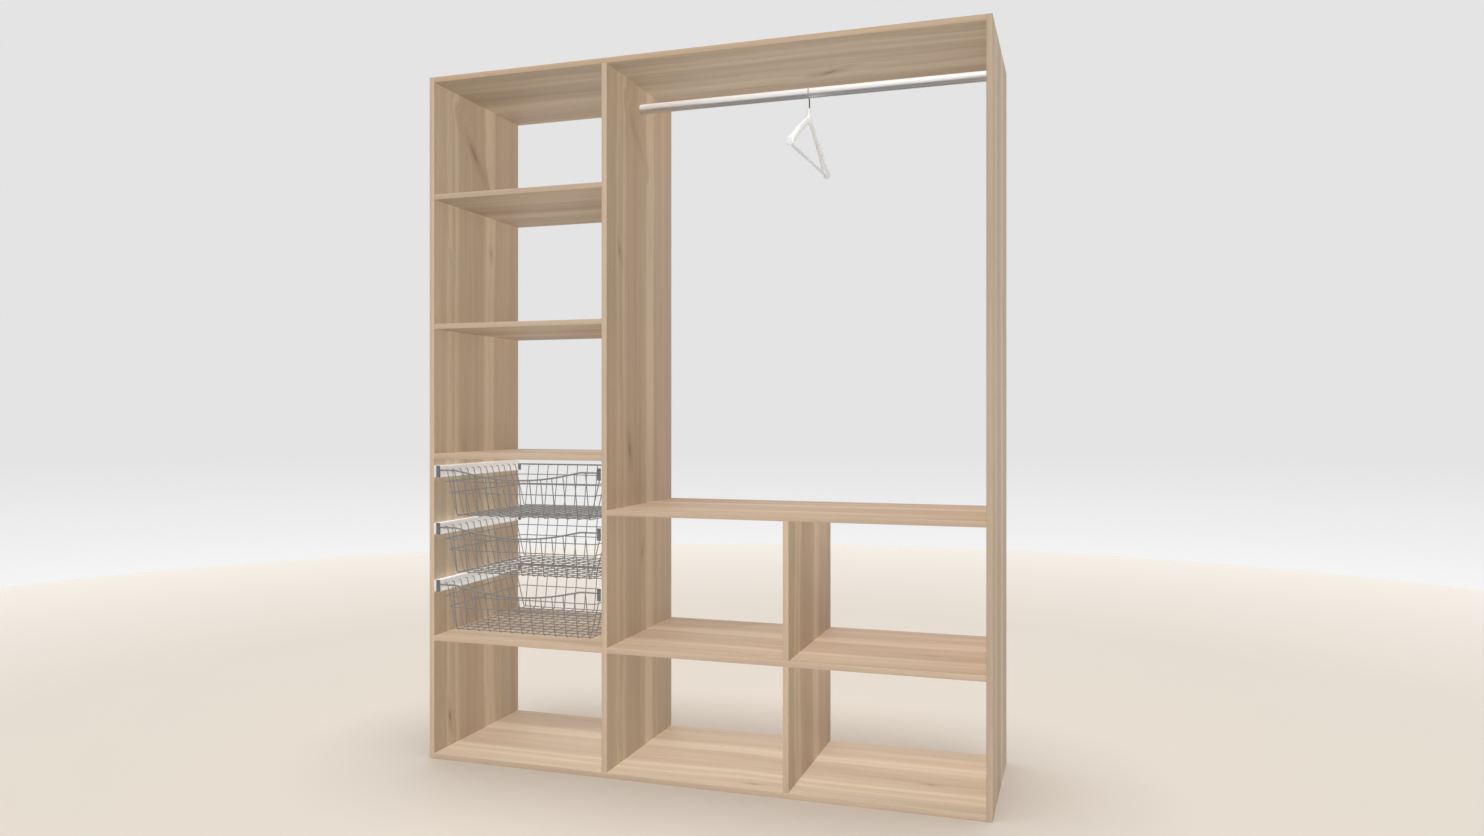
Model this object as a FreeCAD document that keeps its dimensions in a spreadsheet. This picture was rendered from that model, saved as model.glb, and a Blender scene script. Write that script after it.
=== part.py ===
import FreeCAD, Part
import math
import os
import Sketcher
from FreeCAD import Placement, Rotation, Vector

# Open closet system in wood-faced board
# Two bays stand side by side. The left one has shelves and three pull-out wire baskets, and the right one
# has a hanging rail over two open shelves. The origin is on the floor, in the middle of the footprint: X runs
# along the front, Y to the rear and Z up. The front edges lie at -depth / 2.

doc = FreeCAD.newDocument("ClosetSystem")
sheet = doc.addObject("Spreadsheet::Sheet", "Sizes")

# Driving sizes, in millimetres
SIZES = {
    # Carcass
    "width": 1700,
    "depth": 510,
    "height": 2104,
    "board": 16,
    "left_bay": 568,
    # Clear heights between the boards, from the bottom board up
    "floor_cell_tall": 348,
    "basket_cell_tall": 546,
    "cube_cell_tall": 386,
    # Flat wooden tongues that join the boards
    "tongue_length": 40,
    "tongue_thickness": 5,
    "tongue_reach": 9,
    "tongue_edge_distance": 92,
    "tongue_stagger": 70,
    "slot_clearance": 0.1,
    "slot_extra": 0.5,
    # Hanging rail
    "rail_diameter": 30,
    "rail_wall": 1.5,
    "rail_drop": 82,
    "rail_end_gap": 0.3,
    "plug_length": 14,
    "plug_clearance": 0.05,
    "plug_key": 10,
    "plug_key_depth": 9,
    # Runners on the carcass and glides on the baskets
    "runner_gap": 22,
    "runner_tall": 36,
    "runner_thick": 7,
    "runner_web": 2.5,
    "runner_setback": 8,
    "runner_key_length": 16,
    "runner_key_tall": 5,
    "runner_key_depth": 9,
    "runner_key_inset": 45,
    "slide_gap": 0.3,
    "glide_plate": 6,
    "cap_width": 13,
    "cap_depth": 14,
    "cap_setback": 1,
    "cap_corner": 2,
    "stop_tall": 13,
    "stop_depth": 8,
    # Wire baskets
    "basket_head_gap": 16.5,
    "basket_nest_gap": 20.5,
    "wire_width": 3,
    "rim_wire": 5,
    "rim_drop": 14,
    "rim_setback": 8,
    "weld_gap": 0.05,
    "dip_depth": 27,
    "rim_flat": 51.7,
    "front_lean": 26,
    "side_lean": 35,
    "hook_run": 6.7,
    "first_ring_drop": 35,
    "second_ring_drop": 70,
    "cross_setback": 41,
    # Clothes hanger
    "hanger_inset": 545,
    "hook_wire": 4,
    "hook_gap": 0.3,
    "hook_bend": 10,
    "hook_tip_drop": 6,
    "shank_length": 22,
    "shank_head_radius": 3.5,
    "shank_head_tall": 3,
    "swivel_clearance": 0.06,
    "neck_drop": 49,
    "neck_tall": 38,
    "neck_width": 12,
    "neck_length": 16,
    "shoulder_span": 450,
    "shoulder_drop": 109,
    "shoulder_root_width": 12,
    "shoulder_root_tall": 24,
    "shoulder_tip_width": 28,
    "shoulder_tip_tall": 24,
    "trouser_bar_radius": 3.5,
    "bar_drop": 153,
    "bar_seat": 6,
    "bar_clearance": 0.05,
    "lug_inset": 22,
    "lug_length": 10,
    "lug_width": 11,
}

# Counts of wires, and shares of another size, which are no lengths
COUNTS = {"long_wires": 13, "cross_wires": 12}
SHARES = {"left_shelf_share": 0.3442, "shoulder_corner_share": 0.33, "neck_corner_share": 0.25}

for row, (alias, value) in enumerate({**SIZES, **COUNTS, **SHARES}.items(), start=1):
    sheet.set(f"A{row}", alias)
    sheet.set(f"B{row}", str(value))
    sheet.setAlias(f"B{row}", alias)
doc.recompute()


def size(rule):
    """The number that a rule gives: a rule is an expression in the sheet's names."""
    result = sheet.evalExpression(rule)
    return float(getattr(result, "Value", result))


# Places that several pieces share, as rules

LEFT = "(-Sizes.width / 2)"
FRONT = "(-Sizes.depth / 2)"
LEFT_FACE = "(-Sizes.width / 2 + Sizes.board)"
RIGHT_FACE = "(Sizes.width / 2 - Sizes.board)"
PARTITION = f"({LEFT_FACE} + Sizes.left_bay)"
PARTITION_FACE = f"({PARTITION} + Sizes.board)"
RIGHT_BAY = f"({RIGHT_FACE} - {PARTITION_FACE})"
DIVIDER = f"({PARTITION_FACE} + ({RIGHT_BAY} - Sizes.board) / 2)"
BAY_MIDDLE = f"({LEFT_FACE} + Sizes.left_bay / 2)"
TOP_FACE = "(Sizes.height - Sizes.board)"
RAIL_HEIGHT = "(Sizes.height - Sizes.rail_drop)"
HANGER_PLACE = f"({PARTITION_FACE} + Sizes.hanger_inset)"

# Tops of the shelves: the two upper ones share out the height over the lower one
BASE_TOP = "(Sizes.floor_cell_tall + 2 * Sizes.board)"
CUBE_TOP = f"({BASE_TOP} + Sizes.cube_cell_tall + Sizes.board)"
LOWER_TOP = f"({BASE_TOP} + Sizes.basket_cell_tall + Sizes.board)"
SHELF_STEP = f"((Sizes.height - {LOWER_TOP}) * Sizes.left_shelf_share)"


# Helpers that make and bind objects


def bind(thing, rules):
    """Bind each property path of a thing to its rule."""
    for path, rule in rules.items():
        thing.setExpression(path, rule)


def make(kind, name, rules):
    """A document object with its properties bound."""
    thing = doc.addObject(kind, name)
    bind(thing, rules)
    return thing


def place(thing, x, y, z):
    """Bind where a thing stands."""
    bind(thing, {"Placement.Base.x": x, "Placement.Base.y": y, "Placement.Base.z": z})
    return thing


TURNS = {
    "X": Rotation(Vector(0, 1, 0), 90),
    "Y": Rotation(Vector(1, 0, 0), -90),
    "Z": Rotation(),
}


def block(name, length, width, height, x, y, z):
    """A rectangular solid from its low corner."""
    return place(make("Part::Box", name, {"Length": length, "Width": width, "Height": height}), x, y, z)


def rod(name, along, radius, length, x, y, z):
    """A round solid whose axis runs along X, Y or Z from its low end."""
    solid = make("Part::Cylinder", name, {"Radius": radius, "Height": length})
    solid.Placement = Placement(Vector(), TURNS[along])
    return place(solid, x, y, z)


def group(name, members):
    """Several solids held as one object."""
    holder = doc.addObject("Part::Compound", name)
    holder.Links = members
    return holder


def plane_of(body, role):
    """One of a body's own origin planes or axes."""
    return next(feature for feature in body.Origin.OriginFeatures if feature.Role == role)


def sketch_on(body, name, role, offset=None, turn=None):
    """A sketch on one of the body's origin planes, moved along its normal and turned about its first axis."""
    sketch = body.newObject("Sketcher::SketchObject", name)
    sketch.AttachmentSupport = [(plane_of(body, role), "")]
    sketch.MapMode = "FlatFace"
    if turn:
        sketch.AttachmentOffset = Placement(Vector(), Rotation(Vector(1, 0, 0), 1))
        sketch.setExpression("AttachmentOffset.Rotation.Angle", turn)
    if offset:
        sketch.setExpression("AttachmentOffset.Base.z", offset)
    return sketch


def pin_point(sketch, geometry, end, x, y):
    """Hold a point of a sketch at two rules, measured from the sketch's origin."""
    for kind, rule in (("DistanceX", x), ("DistanceY", y)):
        if rule is None:
            continue
        name = f"{kind[-1].lower()}{geometry}_{end}"
        index = sketch.addConstraint(Sketcher.Constraint(kind, -1, 1, geometry, end, size(rule)))
        sketch.renameConstraint(index, name)
        sketch.setExpression(f"Constraints.{name}", rule)


def hold(sketch, kind, *where):
    """Add a constraint that needs no size."""
    sketch.addConstraint(Sketcher.Constraint(kind, *where))


def hold_radius(sketch, geometry, rule):
    """Hold the radius of an arc or circle at a rule."""
    name = f"radius{geometry}"
    index = sketch.addConstraint(Sketcher.Constraint("Radius", geometry, size(rule)))
    sketch.renameConstraint(index, name)
    sketch.setExpression(f"Constraints.{name}", rule)


def outline(sketch, points):
    """A closed outline of straight runs through points given as pairs of rules."""
    first = sketch.GeometryCount
    corners = [Vector(size(x), size(y), 0) for x, y in points]
    for start, end in zip(corners, corners[1:] + corners[:1]):
        sketch.addGeometry(Part.LineSegment(start, end), False)
    count = len(points)
    for index, (x, y) in enumerate(points):
        hold(sketch, "Coincident", first + index, 1, first + (index - 1) % count, 2)
        pin_point(sketch, first + index, 1, x, y)


def circle(sketch, x, y, radius):
    """A circle held at its centre."""
    centre = Vector(size(x), size(y), 0)
    index = sketch.addGeometry(Part.Circle(centre, Vector(0, 0, 1), size(radius)), False)
    pin_point(sketch, index, 3, x, y)
    hold_radius(sketch, index, radius)


def octagon(sketch, half_wide, half_tall, cut, x="0", y="0"):
    """An eight-sided outline about a point: a rectangle with its corners cut off at 45 degrees."""
    spots = [(half_wide, f"({half_tall} - {cut})"), (f"({half_wide} - {cut})", half_tall)]
    spots += [(f"-{across}", up) for across, up in reversed(spots)]
    spots += [(across, f"-{up}") for across, up in reversed(spots)]
    outline(sketch, [(f"{x} + {across}", f"{y} + {up}") for across, up in spots])


def round_wire(sketch, radius):
    """A regular eight-sided outline that stands for a round wire's section."""
    octagon(sketch, f"({radius})", f"({radius})", f"({radius} * (2 - sqrt(2)))")


def pad(body, name, sketch, length, reverse=False, both_ways=False):
    """Extrude a sketch along its normal, or half to each side of it."""
    feature = body.newObject("PartDesign::Pad", name)
    feature.Profile = sketch
    feature.Midplane = both_ways
    feature.Reversed = reverse
    feature.setExpression("Length", length)
    return feature


def cut(body, name, sketch, length):
    """Cut a sketch out of a body, half to each side of it, and make sure that it took something."""
    doc.recompute()
    before = body.Shape.Volume
    pocket = body.newObject("PartDesign::Pocket", name)
    pocket.Profile = sketch
    pocket.Midplane = True
    pocket.setExpression("Length", length)
    doc.recompute()
    if not body.Shape.Volume < before:
        raise RuntimeError(f"{name} cut nothing from {body.Name}")
    return pocket


def repeat(body, name, feature, axis, length, count):
    """Copies of a feature in a row along one of the body's axes."""
    pattern = body.newObject("PartDesign::LinearPattern", name)
    pattern.Originals = [feature]
    pattern.Direction = (plane_of(body, axis), [""])
    bind(pattern, {"Length": length, "Occurrences": count})
    body.Tip = pattern
    return pattern


subparts = {}


def keep(node, thing):
    """Enter a finished solid or group under its node's name."""
    thing.Label = node
    subparts[node] = thing


# Boards of the carcass
# Each board is a blank that its slots and holes are cut from, once all of them are known.

blanks = {}
cutters = {}


def board(node, length, width, height, x, y, z):
    """A blank board that waits for its cuts."""
    blanks[node] = block(node + "_blank", length, width, height, x, y, z)
    cutters[node] = []


def upright(node, x, low, high):
    """A standing board from its low X face."""
    board(node, "Sizes.board", "Sizes.depth", f"{high} - {low}", x, FRONT, low)


def level(node, x, length, top):
    """A lying board under its top face."""
    board(node, length, "Sizes.depth", "Sizes.board", x, FRONT, f"{top} - Sizes.board")


upright("left_side_panel", LEFT, "0", "Sizes.height")
upright("right_side_panel", RIGHT_FACE, "0", "Sizes.height")
upright("partition_panel", PARTITION, "Sizes.board", TOP_FACE)
level("top_board", LEFT_FACE, "Sizes.width - 2 * Sizes.board", "Sizes.height")
level("bottom_board", LEFT_FACE, "Sizes.width - 2 * Sizes.board", "Sizes.board")

LEFT_SHELVES = {
    "upper_shelf": f"({LOWER_TOP} + 2 * {SHELF_STEP})",
    "middle_shelf": f"({LOWER_TOP} + {SHELF_STEP})",
    "lower_shelf": LOWER_TOP,
    "base_shelf": BASE_TOP,
}
for shelf, top in LEFT_SHELVES.items():
    level(shelf, LEFT_FACE, "Sizes.left_bay", top)
level("wide_shelf", PARTITION_FACE, RIGHT_BAY, CUBE_TOP)
level("cube_shelf", PARTITION_FACE, RIGHT_BAY, BASE_TOP)
upright("upper_divider", DIVIDER, BASE_TOP, f"({CUBE_TOP} - Sizes.board)")
upright("lower_divider", DIVIDER, "Sizes.board", f"({BASE_TOP} - Sizes.board)")


# Tongue joints
# A flat loose tongue sits half in the face of one board and half in the end of the other. Where two boards
# meet a third at one height, their tongues are staggered, so that the slots don't meet inside it.

BACK_TO_FRONT = {"front": 1, "rear": -1}
tongues = []


def slot(panel, name, sizes, low_corner):
    """A rectangular pocket in a board."""
    cutters[panel].append(block(name, *sizes, *low_corner))


def tongue_joint(face_board, end_board, side, face, middle, staggered=False):
    """Two tongues between the face of one board and the end of another.

    side is the way that the end board leaves the face: +X, -X, +Z or -Z. face is the face's place along that
    axis, and middle is the middle of the end board's thickness along the other one.
    """
    sign, axis = side
    inset = "Sizes.tongue_edge_distance"
    if staggered:
        inset = "(Sizes.tongue_edge_distance + Sizes.tongue_stagger)"
    slot_length = "Sizes.tongue_length + 2 * Sizes.slot_clearance"
    slot_reach = "(Sizes.tongue_reach + Sizes.slot_extra)"
    thickness = "Sizes.tongue_thickness"
    across = f"{middle} - {thickness} / 2"
    for end, turn in BACK_TO_FRONT.items():
        centre = f"{turn} * ({FRONT} + {inset})"
        name = f"{end_board}_{face_board}_{end}"

        def lay(reach, length, low):
            """Sizes and low corner, with the reach along the joint's axis."""
            y = f"{centre} - ({length}) / 2"
            if axis == "X":
                return (reach, length, thickness), (low, y, across)
            return (thickness, length, reach), (across, y, low)

        ahead, behind = (face, f"{face} - {slot_reach}")
        in_end, in_face = (ahead, behind) if sign == "+" else (behind, ahead)
        slot(end_board, name + "_end_slot", *lay(slot_reach, slot_length, in_end))
        slot(face_board, name + "_face_slot", *lay(slot_reach, slot_length, in_face))
        sizes, corner = lay("2 * Sizes.tongue_reach", "Sizes.tongue_length", f"{face} - Sizes.tongue_reach")
        tongues.append(block(name + "_tongue", *sizes, *corner))


HALF_BOARD = "Sizes.board / 2"
TOP_MIDDLE = f"(Sizes.height - {HALF_BOARD})"
BOTTOM_MIDDLE = f"({HALF_BOARD})"
BASE_MIDDLE = f"({BASE_TOP} - {HALF_BOARD})"
WIDE_MIDDLE = f"({CUBE_TOP} - {HALF_BOARD})"
PARTITION_MIDDLE = f"({PARTITION} + {HALF_BOARD})"
DIVIDER_MIDDLE = f"({DIVIDER} + {HALF_BOARD})"

for lying, lying_middle in (("top_board", TOP_MIDDLE), ("bottom_board", BOTTOM_MIDDLE)):
    tongue_joint("left_side_panel", lying, "+X", LEFT_FACE, lying_middle)
    tongue_joint("right_side_panel", lying, "-X", RIGHT_FACE, lying_middle)
tongue_joint("top_board", "partition_panel", "-Z", TOP_FACE, PARTITION_MIDDLE)
tongue_joint("bottom_board", "partition_panel", "+Z", "Sizes.board", PARTITION_MIDDLE)
for shelf, top in LEFT_SHELVES.items():
    shelf_middle = f"({top} - {HALF_BOARD})"
    tongue_joint("left_side_panel", shelf, "+X", LEFT_FACE, shelf_middle)
    tongue_joint("partition_panel", shelf, "-X", PARTITION, shelf_middle)
tongue_joint("partition_panel", "cube_shelf", "+X", PARTITION_FACE, BASE_MIDDLE, staggered=True)
tongue_joint("right_side_panel", "cube_shelf", "-X", RIGHT_FACE, BASE_MIDDLE, staggered=True)
tongue_joint("partition_panel", "wide_shelf", "+X", PARTITION_FACE, WIDE_MIDDLE)
tongue_joint("right_side_panel", "wide_shelf", "-X", RIGHT_FACE, WIDE_MIDDLE)
tongue_joint("wide_shelf", "upper_divider", "-Z", f"({CUBE_TOP} - Sizes.board)", DIVIDER_MIDDLE)
tongue_joint("cube_shelf", "upper_divider", "+Z", BASE_TOP, DIVIDER_MIDDLE)
BASE_UNDERSIDE = f"({BASE_TOP} - Sizes.board)"
tongue_joint("cube_shelf", "lower_divider", "-Z", BASE_UNDERSIDE, DIVIDER_MIDDLE, staggered=True)
tongue_joint("bottom_board", "lower_divider", "+Z", "Sizes.board", DIVIDER_MIDDLE, staggered=True)
keep("joint_tongues", group("joint_tongues", tongues))


def key_slot(panel, name, face, inward, key, y, z):
    """A blind pocket along X for a key given as its depth, length and height, centred on y and z."""
    depth, length, tall = key
    reach = f"({depth} + Sizes.slot_extra)"
    sizes = (reach, f"{length} + 2 * Sizes.slot_clearance", f"{tall} + 2 * Sizes.slot_clearance")
    low = face if inward == "+" else f"{face} - {reach}"
    slot(panel, name, sizes, (low, f"{y} - ({sizes[1]}) / 2", f"{z} - ({sizes[2]}) / 2"))


# Hanging rail
# A round tube slips over a plug at each end, and the plug's square key sits in a pocket of the board.

RAIL_BORE = "(Sizes.rail_diameter / 2 - Sizes.rail_wall)"
rail_low = f"{PARTITION_FACE} + Sizes.rail_end_gap"
rail_length = f"{RIGHT_BAY} - 2 * Sizes.rail_end_gap"
tube = doc.addObject("Part::Cut", "hanging_rail_tube")
tube.Base = rod("rail_outside", "X", "Sizes.rail_diameter / 2", rail_length, rail_low, "0", RAIL_HEIGHT)
tube.Tool = rod("rail_bore", "X", RAIL_BORE, rail_length, rail_low, "0", RAIL_HEIGHT)
keep("hanging_rail", tube)

plugs = []
PLUG_KEY = ("Sizes.plug_key_depth", "Sizes.plug_key", "Sizes.plug_key")
for panel, face, inward in (("partition_panel", PARTITION_FACE, "-"), ("right_side_panel", RIGHT_FACE, "+")):
    key_slot(panel, panel + "_rail_slot", face, inward, PLUG_KEY, "0", RAIL_HEIGHT)
    plug_low, key_low = (face, f"{face} - Sizes.plug_key_depth")
    if inward == "+":
        plug_low, key_low = (f"{face} - Sizes.plug_length", face)
    plug = doc.addObject("Part::Fuse", panel + "_rail_plug")
    plug_radius = f"{RAIL_BORE} - Sizes.plug_clearance"
    plug.Base = rod(panel + "_plug_disc", "X", plug_radius, "Sizes.plug_length", plug_low, "0", RAIL_HEIGHT)
    key_corner = ("-Sizes.plug_key / 2", f"{RAIL_HEIGHT} - Sizes.plug_key / 2")
    plug.Tool = block(panel + "_plug_key", *PLUG_KEY, key_low, *key_corner)
    plugs.append(plug)
keep("rail_plugs", group("rail_plugs", plugs))


# Runners and baskets
# Every basket hangs on two glides, which slide in grooved runners on the sides of the left bay. All pieces
# are made once, for the top basket, about the middle of the bay, and each basket is a set of placed copies.

BASKETS = 3
HALF_BAY = "Sizes.left_bay / 2"
BASKET_PITCH = f"((Sizes.basket_cell_tall - Sizes.basket_head_gap) / {BASKETS})"
RUNNER_TOP = f"({LOWER_TOP} - Sizes.board - Sizes.runner_gap)"
RIM_LEVEL = f"({RUNNER_TOP} - Sizes.rim_drop)"
FLOOR_DROP = f"({BASKET_PITCH} - Sizes.rim_drop - Sizes.basket_nest_gap)"
RUNNER_FRONT = f"({FRONT} + Sizes.runner_setback)"
RUNNER_LENGTH = "(Sizes.depth - 2 * Sizes.runner_setback)"
GLIDE_OUTER = f"({HALF_BAY} - Sizes.runner_thick - Sizes.slide_gap)"
GLIDE_INNER = f"({GLIDE_OUTER} - Sizes.glide_plate)"
CAP_INNER = f"({GLIDE_OUTER} - Sizes.cap_width)"
CAP_FRONT = f"({FRONT} + Sizes.cap_setback)"
GLIDE_FRONT = f"({CAP_FRONT} + Sizes.cap_depth)"
GLIDE_REAR = "(Sizes.depth / 2 - Sizes.runner_setback - Sizes.stop_depth)"
SIDES = {"left": -1, "right": 1}
RUNNER_KEY = ("Sizes.runner_key_depth", "Sizes.runner_key_length", "Sizes.runner_key_tall")


def body_at(name, y="0", z="0"):
    """A body whose origin stands in the middle of the left bay."""
    body = doc.addObject("PartDesign::Body", name)
    body.AllowCompound = True
    return place(body, BAY_MIDDLE, y, z)


def runner(side, sign):
    """The grooved strip on the carcass, with two flat keys on its back that push into the board."""
    body = body_at(f"{side}_runner", RUNNER_FRONT, RUNNER_TOP)
    section = sketch_on(body, f"{side}_runner_section", "XZ_Plane")
    back = f"{sign} * {HALF_BAY}"
    lip = f"{sign} * ({HALF_BAY} - Sizes.runner_thick)"
    web = f"{sign} * ({HALF_BAY} - Sizes.runner_web)"
    points = [(back, "0"), (lip, "0"), (lip, "-Sizes.runner_web"), (web, "-Sizes.runner_web")]
    low = "-Sizes.runner_tall"
    groove_low = f"{low} + Sizes.runner_web"
    points += [(web, groove_low), (lip, groove_low), (lip, low), (back, low)]
    outline(section, points)
    pad(body, f"{side}_runner_strip", section, RUNNER_LENGTH, reverse=True)
    keys = sketch_on(body, f"{side}_runner_key_outline", "YZ_Plane", back)
    middle = "-Sizes.runner_tall / 2"
    low, high = (f"{middle} {way} Sizes.runner_key_tall / 2" for way in "-+")
    for centre in ("Sizes.runner_key_inset", f"{RUNNER_LENGTH} - Sizes.runner_key_inset"):
        front, rear = (f"{centre} {way} Sizes.runner_key_length / 2" for way in "-+")
        outline(keys, [(front, low), (rear, low), (rear, high), (front, high)])
    pad(body, f"{side}_runner_keys", keys, "Sizes.runner_key_depth", reverse=sign < 0)
    return body


def glide(side, sign):
    """The strip on the basket: a plate beside the runner and a tongue in its groove."""
    body = body_at(f"{side}_glide", GLIDE_FRONT, RUNNER_TOP)
    section = sketch_on(body, f"{side}_glide_section", "XZ_Plane")
    inner = f"{sign} * {GLIDE_INNER}"
    outer = f"{sign} * {GLIDE_OUTER}"
    tongue = f"{sign} * ({HALF_BAY} - Sizes.runner_web - Sizes.slide_gap)"
    high = "-(Sizes.runner_web + Sizes.slide_gap)"
    low = "-Sizes.runner_tall"
    tongue_low = "-(Sizes.runner_tall - Sizes.runner_web - Sizes.slide_gap)"
    points = [(inner, "0"), (outer, "0"), (outer, high), (tongue, high)]
    points += [(tongue, tongue_low), (outer, tongue_low), (outer, low), (inner, low)]
    outline(section, points)
    pad(body, f"{side}_glide_strip", section, f"{GLIDE_REAR} - {GLIDE_FRONT}", reverse=True)
    return body


def front_cap(side, sign):
    """The block that closes a glide at the front and holds the end of the rim."""
    body = body_at(f"{side}_front_cap", CAP_FRONT, RUNNER_TOP)
    section = sketch_on(body, f"{side}_cap_section", "XY_Plane")
    inner = f"{sign} * {CAP_INNER}"
    outer = f"{sign} * {GLIDE_OUTER}"
    inner_cut = f"{sign} * ({CAP_INNER} + Sizes.cap_corner)"
    outer_cut = f"{sign} * ({GLIDE_OUTER} - Sizes.cap_corner)"
    corner, depth = "Sizes.cap_corner", "Sizes.cap_depth"
    front_edge = [(inner_cut, "0"), (outer_cut, "0")]
    outline(section, front_edge + [(outer, corner), (outer, depth), (inner, depth), (inner, corner)])
    pad(body, f"{side}_cap_block", section, "Sizes.runner_tall", reverse=True)
    return body


def rear_stop(side, sign):
    """The block at a glide's rear end."""
    low = GLIDE_INNER if sign > 0 else f"(-{GLIDE_OUTER})"
    z = f"{RIM_LEVEL} - Sizes.stop_tall / 2"
    sizes = ("Sizes.glide_plate", "Sizes.stop_depth", "Sizes.stop_tall")
    return block(f"{side}_rear_stop", *sizes, f"{BAY_MIDDLE} + {low}", GLIDE_REAR, z)


# Walls of wire
# The basket narrows towards its floor. Each long wire runs down the front, along the floor and up the rear,
# and each cross wire does the same from side to side, over the long ones, with its ends hooked out to the
# glides. The wires are modelled square, as wide as the round ones are thick.

HALF_WIRE = "Sizes.wire_width / 2"
FRONT_SLOPE = f"(Sizes.front_lean / {FLOOR_DROP})"
SIDE_SLOPE = f"(Sizes.side_lean / ({FLOOR_DROP} - Sizes.wire_width))"
FRONT_LEAN = f"atan({FRONT_SLOPE})"
FRONT_SKEW = f"({HALF_WIRE} * sqrt(1 + {FRONT_SLOPE} ^ 2))"
SIDE_SKEW = f"({HALF_WIRE} * sqrt(1 + {SIDE_SLOPE} ^ 2))"
RIM_FRONT = f"({FRONT} + Sizes.rim_setback)"
LEG_OFFSET = f"(Sizes.rim_wire / 2 * sqrt(1 + {FRONT_SLOPE} ^ 2) + Sizes.weld_gap + {FRONT_SKEW})"
FRONT_LEG = f"({RIM_FRONT} + {LEG_OFFSET})"
SIDE_LEG = f"({GLIDE_INNER} - Sizes.hook_run)"
FLOOR_HALF = f"({SIDE_LEG} - Sizes.side_lean)"
REAR_RIM = f"({GLIDE_REAR} - Sizes.rim_wire)"
REAR_LEG = f"({REAR_RIM} - {LEG_OFFSET})"
DIP_HALF = f"({CAP_INNER} - Sizes.rim_flat)"


def leg_edges(way, middle_line, skew, slope, level):
    """The outer and inner edge of a leaning leg where it bends at a level, one wire thick.

    way is the side that the leg stands on, and middle_line is where the leg's middle line meets the level.
    """
    outer = (f"{way} * ({middle_line} + {skew} - {slope} * {HALF_WIRE})", f"{level} - {HALF_WIRE}")
    inner = (f"{way} * ({middle_line} - {skew} + {slope} * {HALF_WIRE})", f"{level} + {HALF_WIRE}")
    return outer, inner


def trough(sketch, sides):
    """The outline of a wire bent to a trough, from the outer and inner points of its sides, left first."""
    (left_out, left_in), (right_out, right_in) = sides
    outline(sketch, left_out + right_out[::-1] + right_in + left_in[::-1])


def dipped_line(sketch, start, middle):
    """The rim's line: level, dipped in the middle and level again, through three tangent arcs.

    start and middle are rules for the half length and the level. Returns the first and last pieces' numbers.
    """
    half, dip = size(DIP_HALF), size("Sizes.dip_depth")
    rule = f"(({DIP_HALF} ^ 2 + Sizes.dip_depth ^ 2) / (4 * Sizes.dip_depth))"
    radius = size(rule)
    ends, height = size(start), size(middle)
    swing = math.asin(half / 2 / radius)
    quarter = math.pi / 2
    up = Vector(0, 0, 1)
    left = Part.LineSegment(Vector(-ends, height, 0), Vector(-half, height, 0))
    crest = Part.Circle(Vector(-half, height - radius, 0), up, radius)
    trough = Part.Circle(Vector(0, height - dip + radius, 0), up, radius)
    far_crest = Part.Circle(Vector(half, height - radius, 0), up, radius)
    first = sketch.GeometryCount
    sketch.addGeometry(left, False)
    sketch.addGeometry(Part.ArcOfCircle(crest, quarter - swing, quarter), False)
    sketch.addGeometry(Part.ArcOfCircle(trough, 3 * quarter - swing, 3 * quarter + swing), False)
    sketch.addGeometry(Part.ArcOfCircle(far_crest, quarter, quarter + swing), False)
    sketch.addGeometry(Part.LineSegment(Vector(half, height, 0), Vector(ends, height, 0)), False)
    hold(sketch, "Tangent", first, 2, first + 1, 2)
    hold(sketch, "Tangent", first + 1, 1, first + 2, 1)
    hold(sketch, "Tangent", first + 2, 2, first + 3, 2)
    hold(sketch, "Tangent", first + 3, 1, first + 4, 1)
    pin_point(sketch, first, 1, f"-{start}", middle)
    hold(sketch, "Horizontal", first)
    pin_point(sketch, first, 2, f"-{DIP_HALF}", None)
    pin_point(sketch, first + 4, 2, start, middle)
    pin_point(sketch, first + 4, 1, DIP_HALF, None)
    for arc in (1, 2):
        hold_radius(sketch, first + arc, rule)
    return first, first + 4


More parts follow.
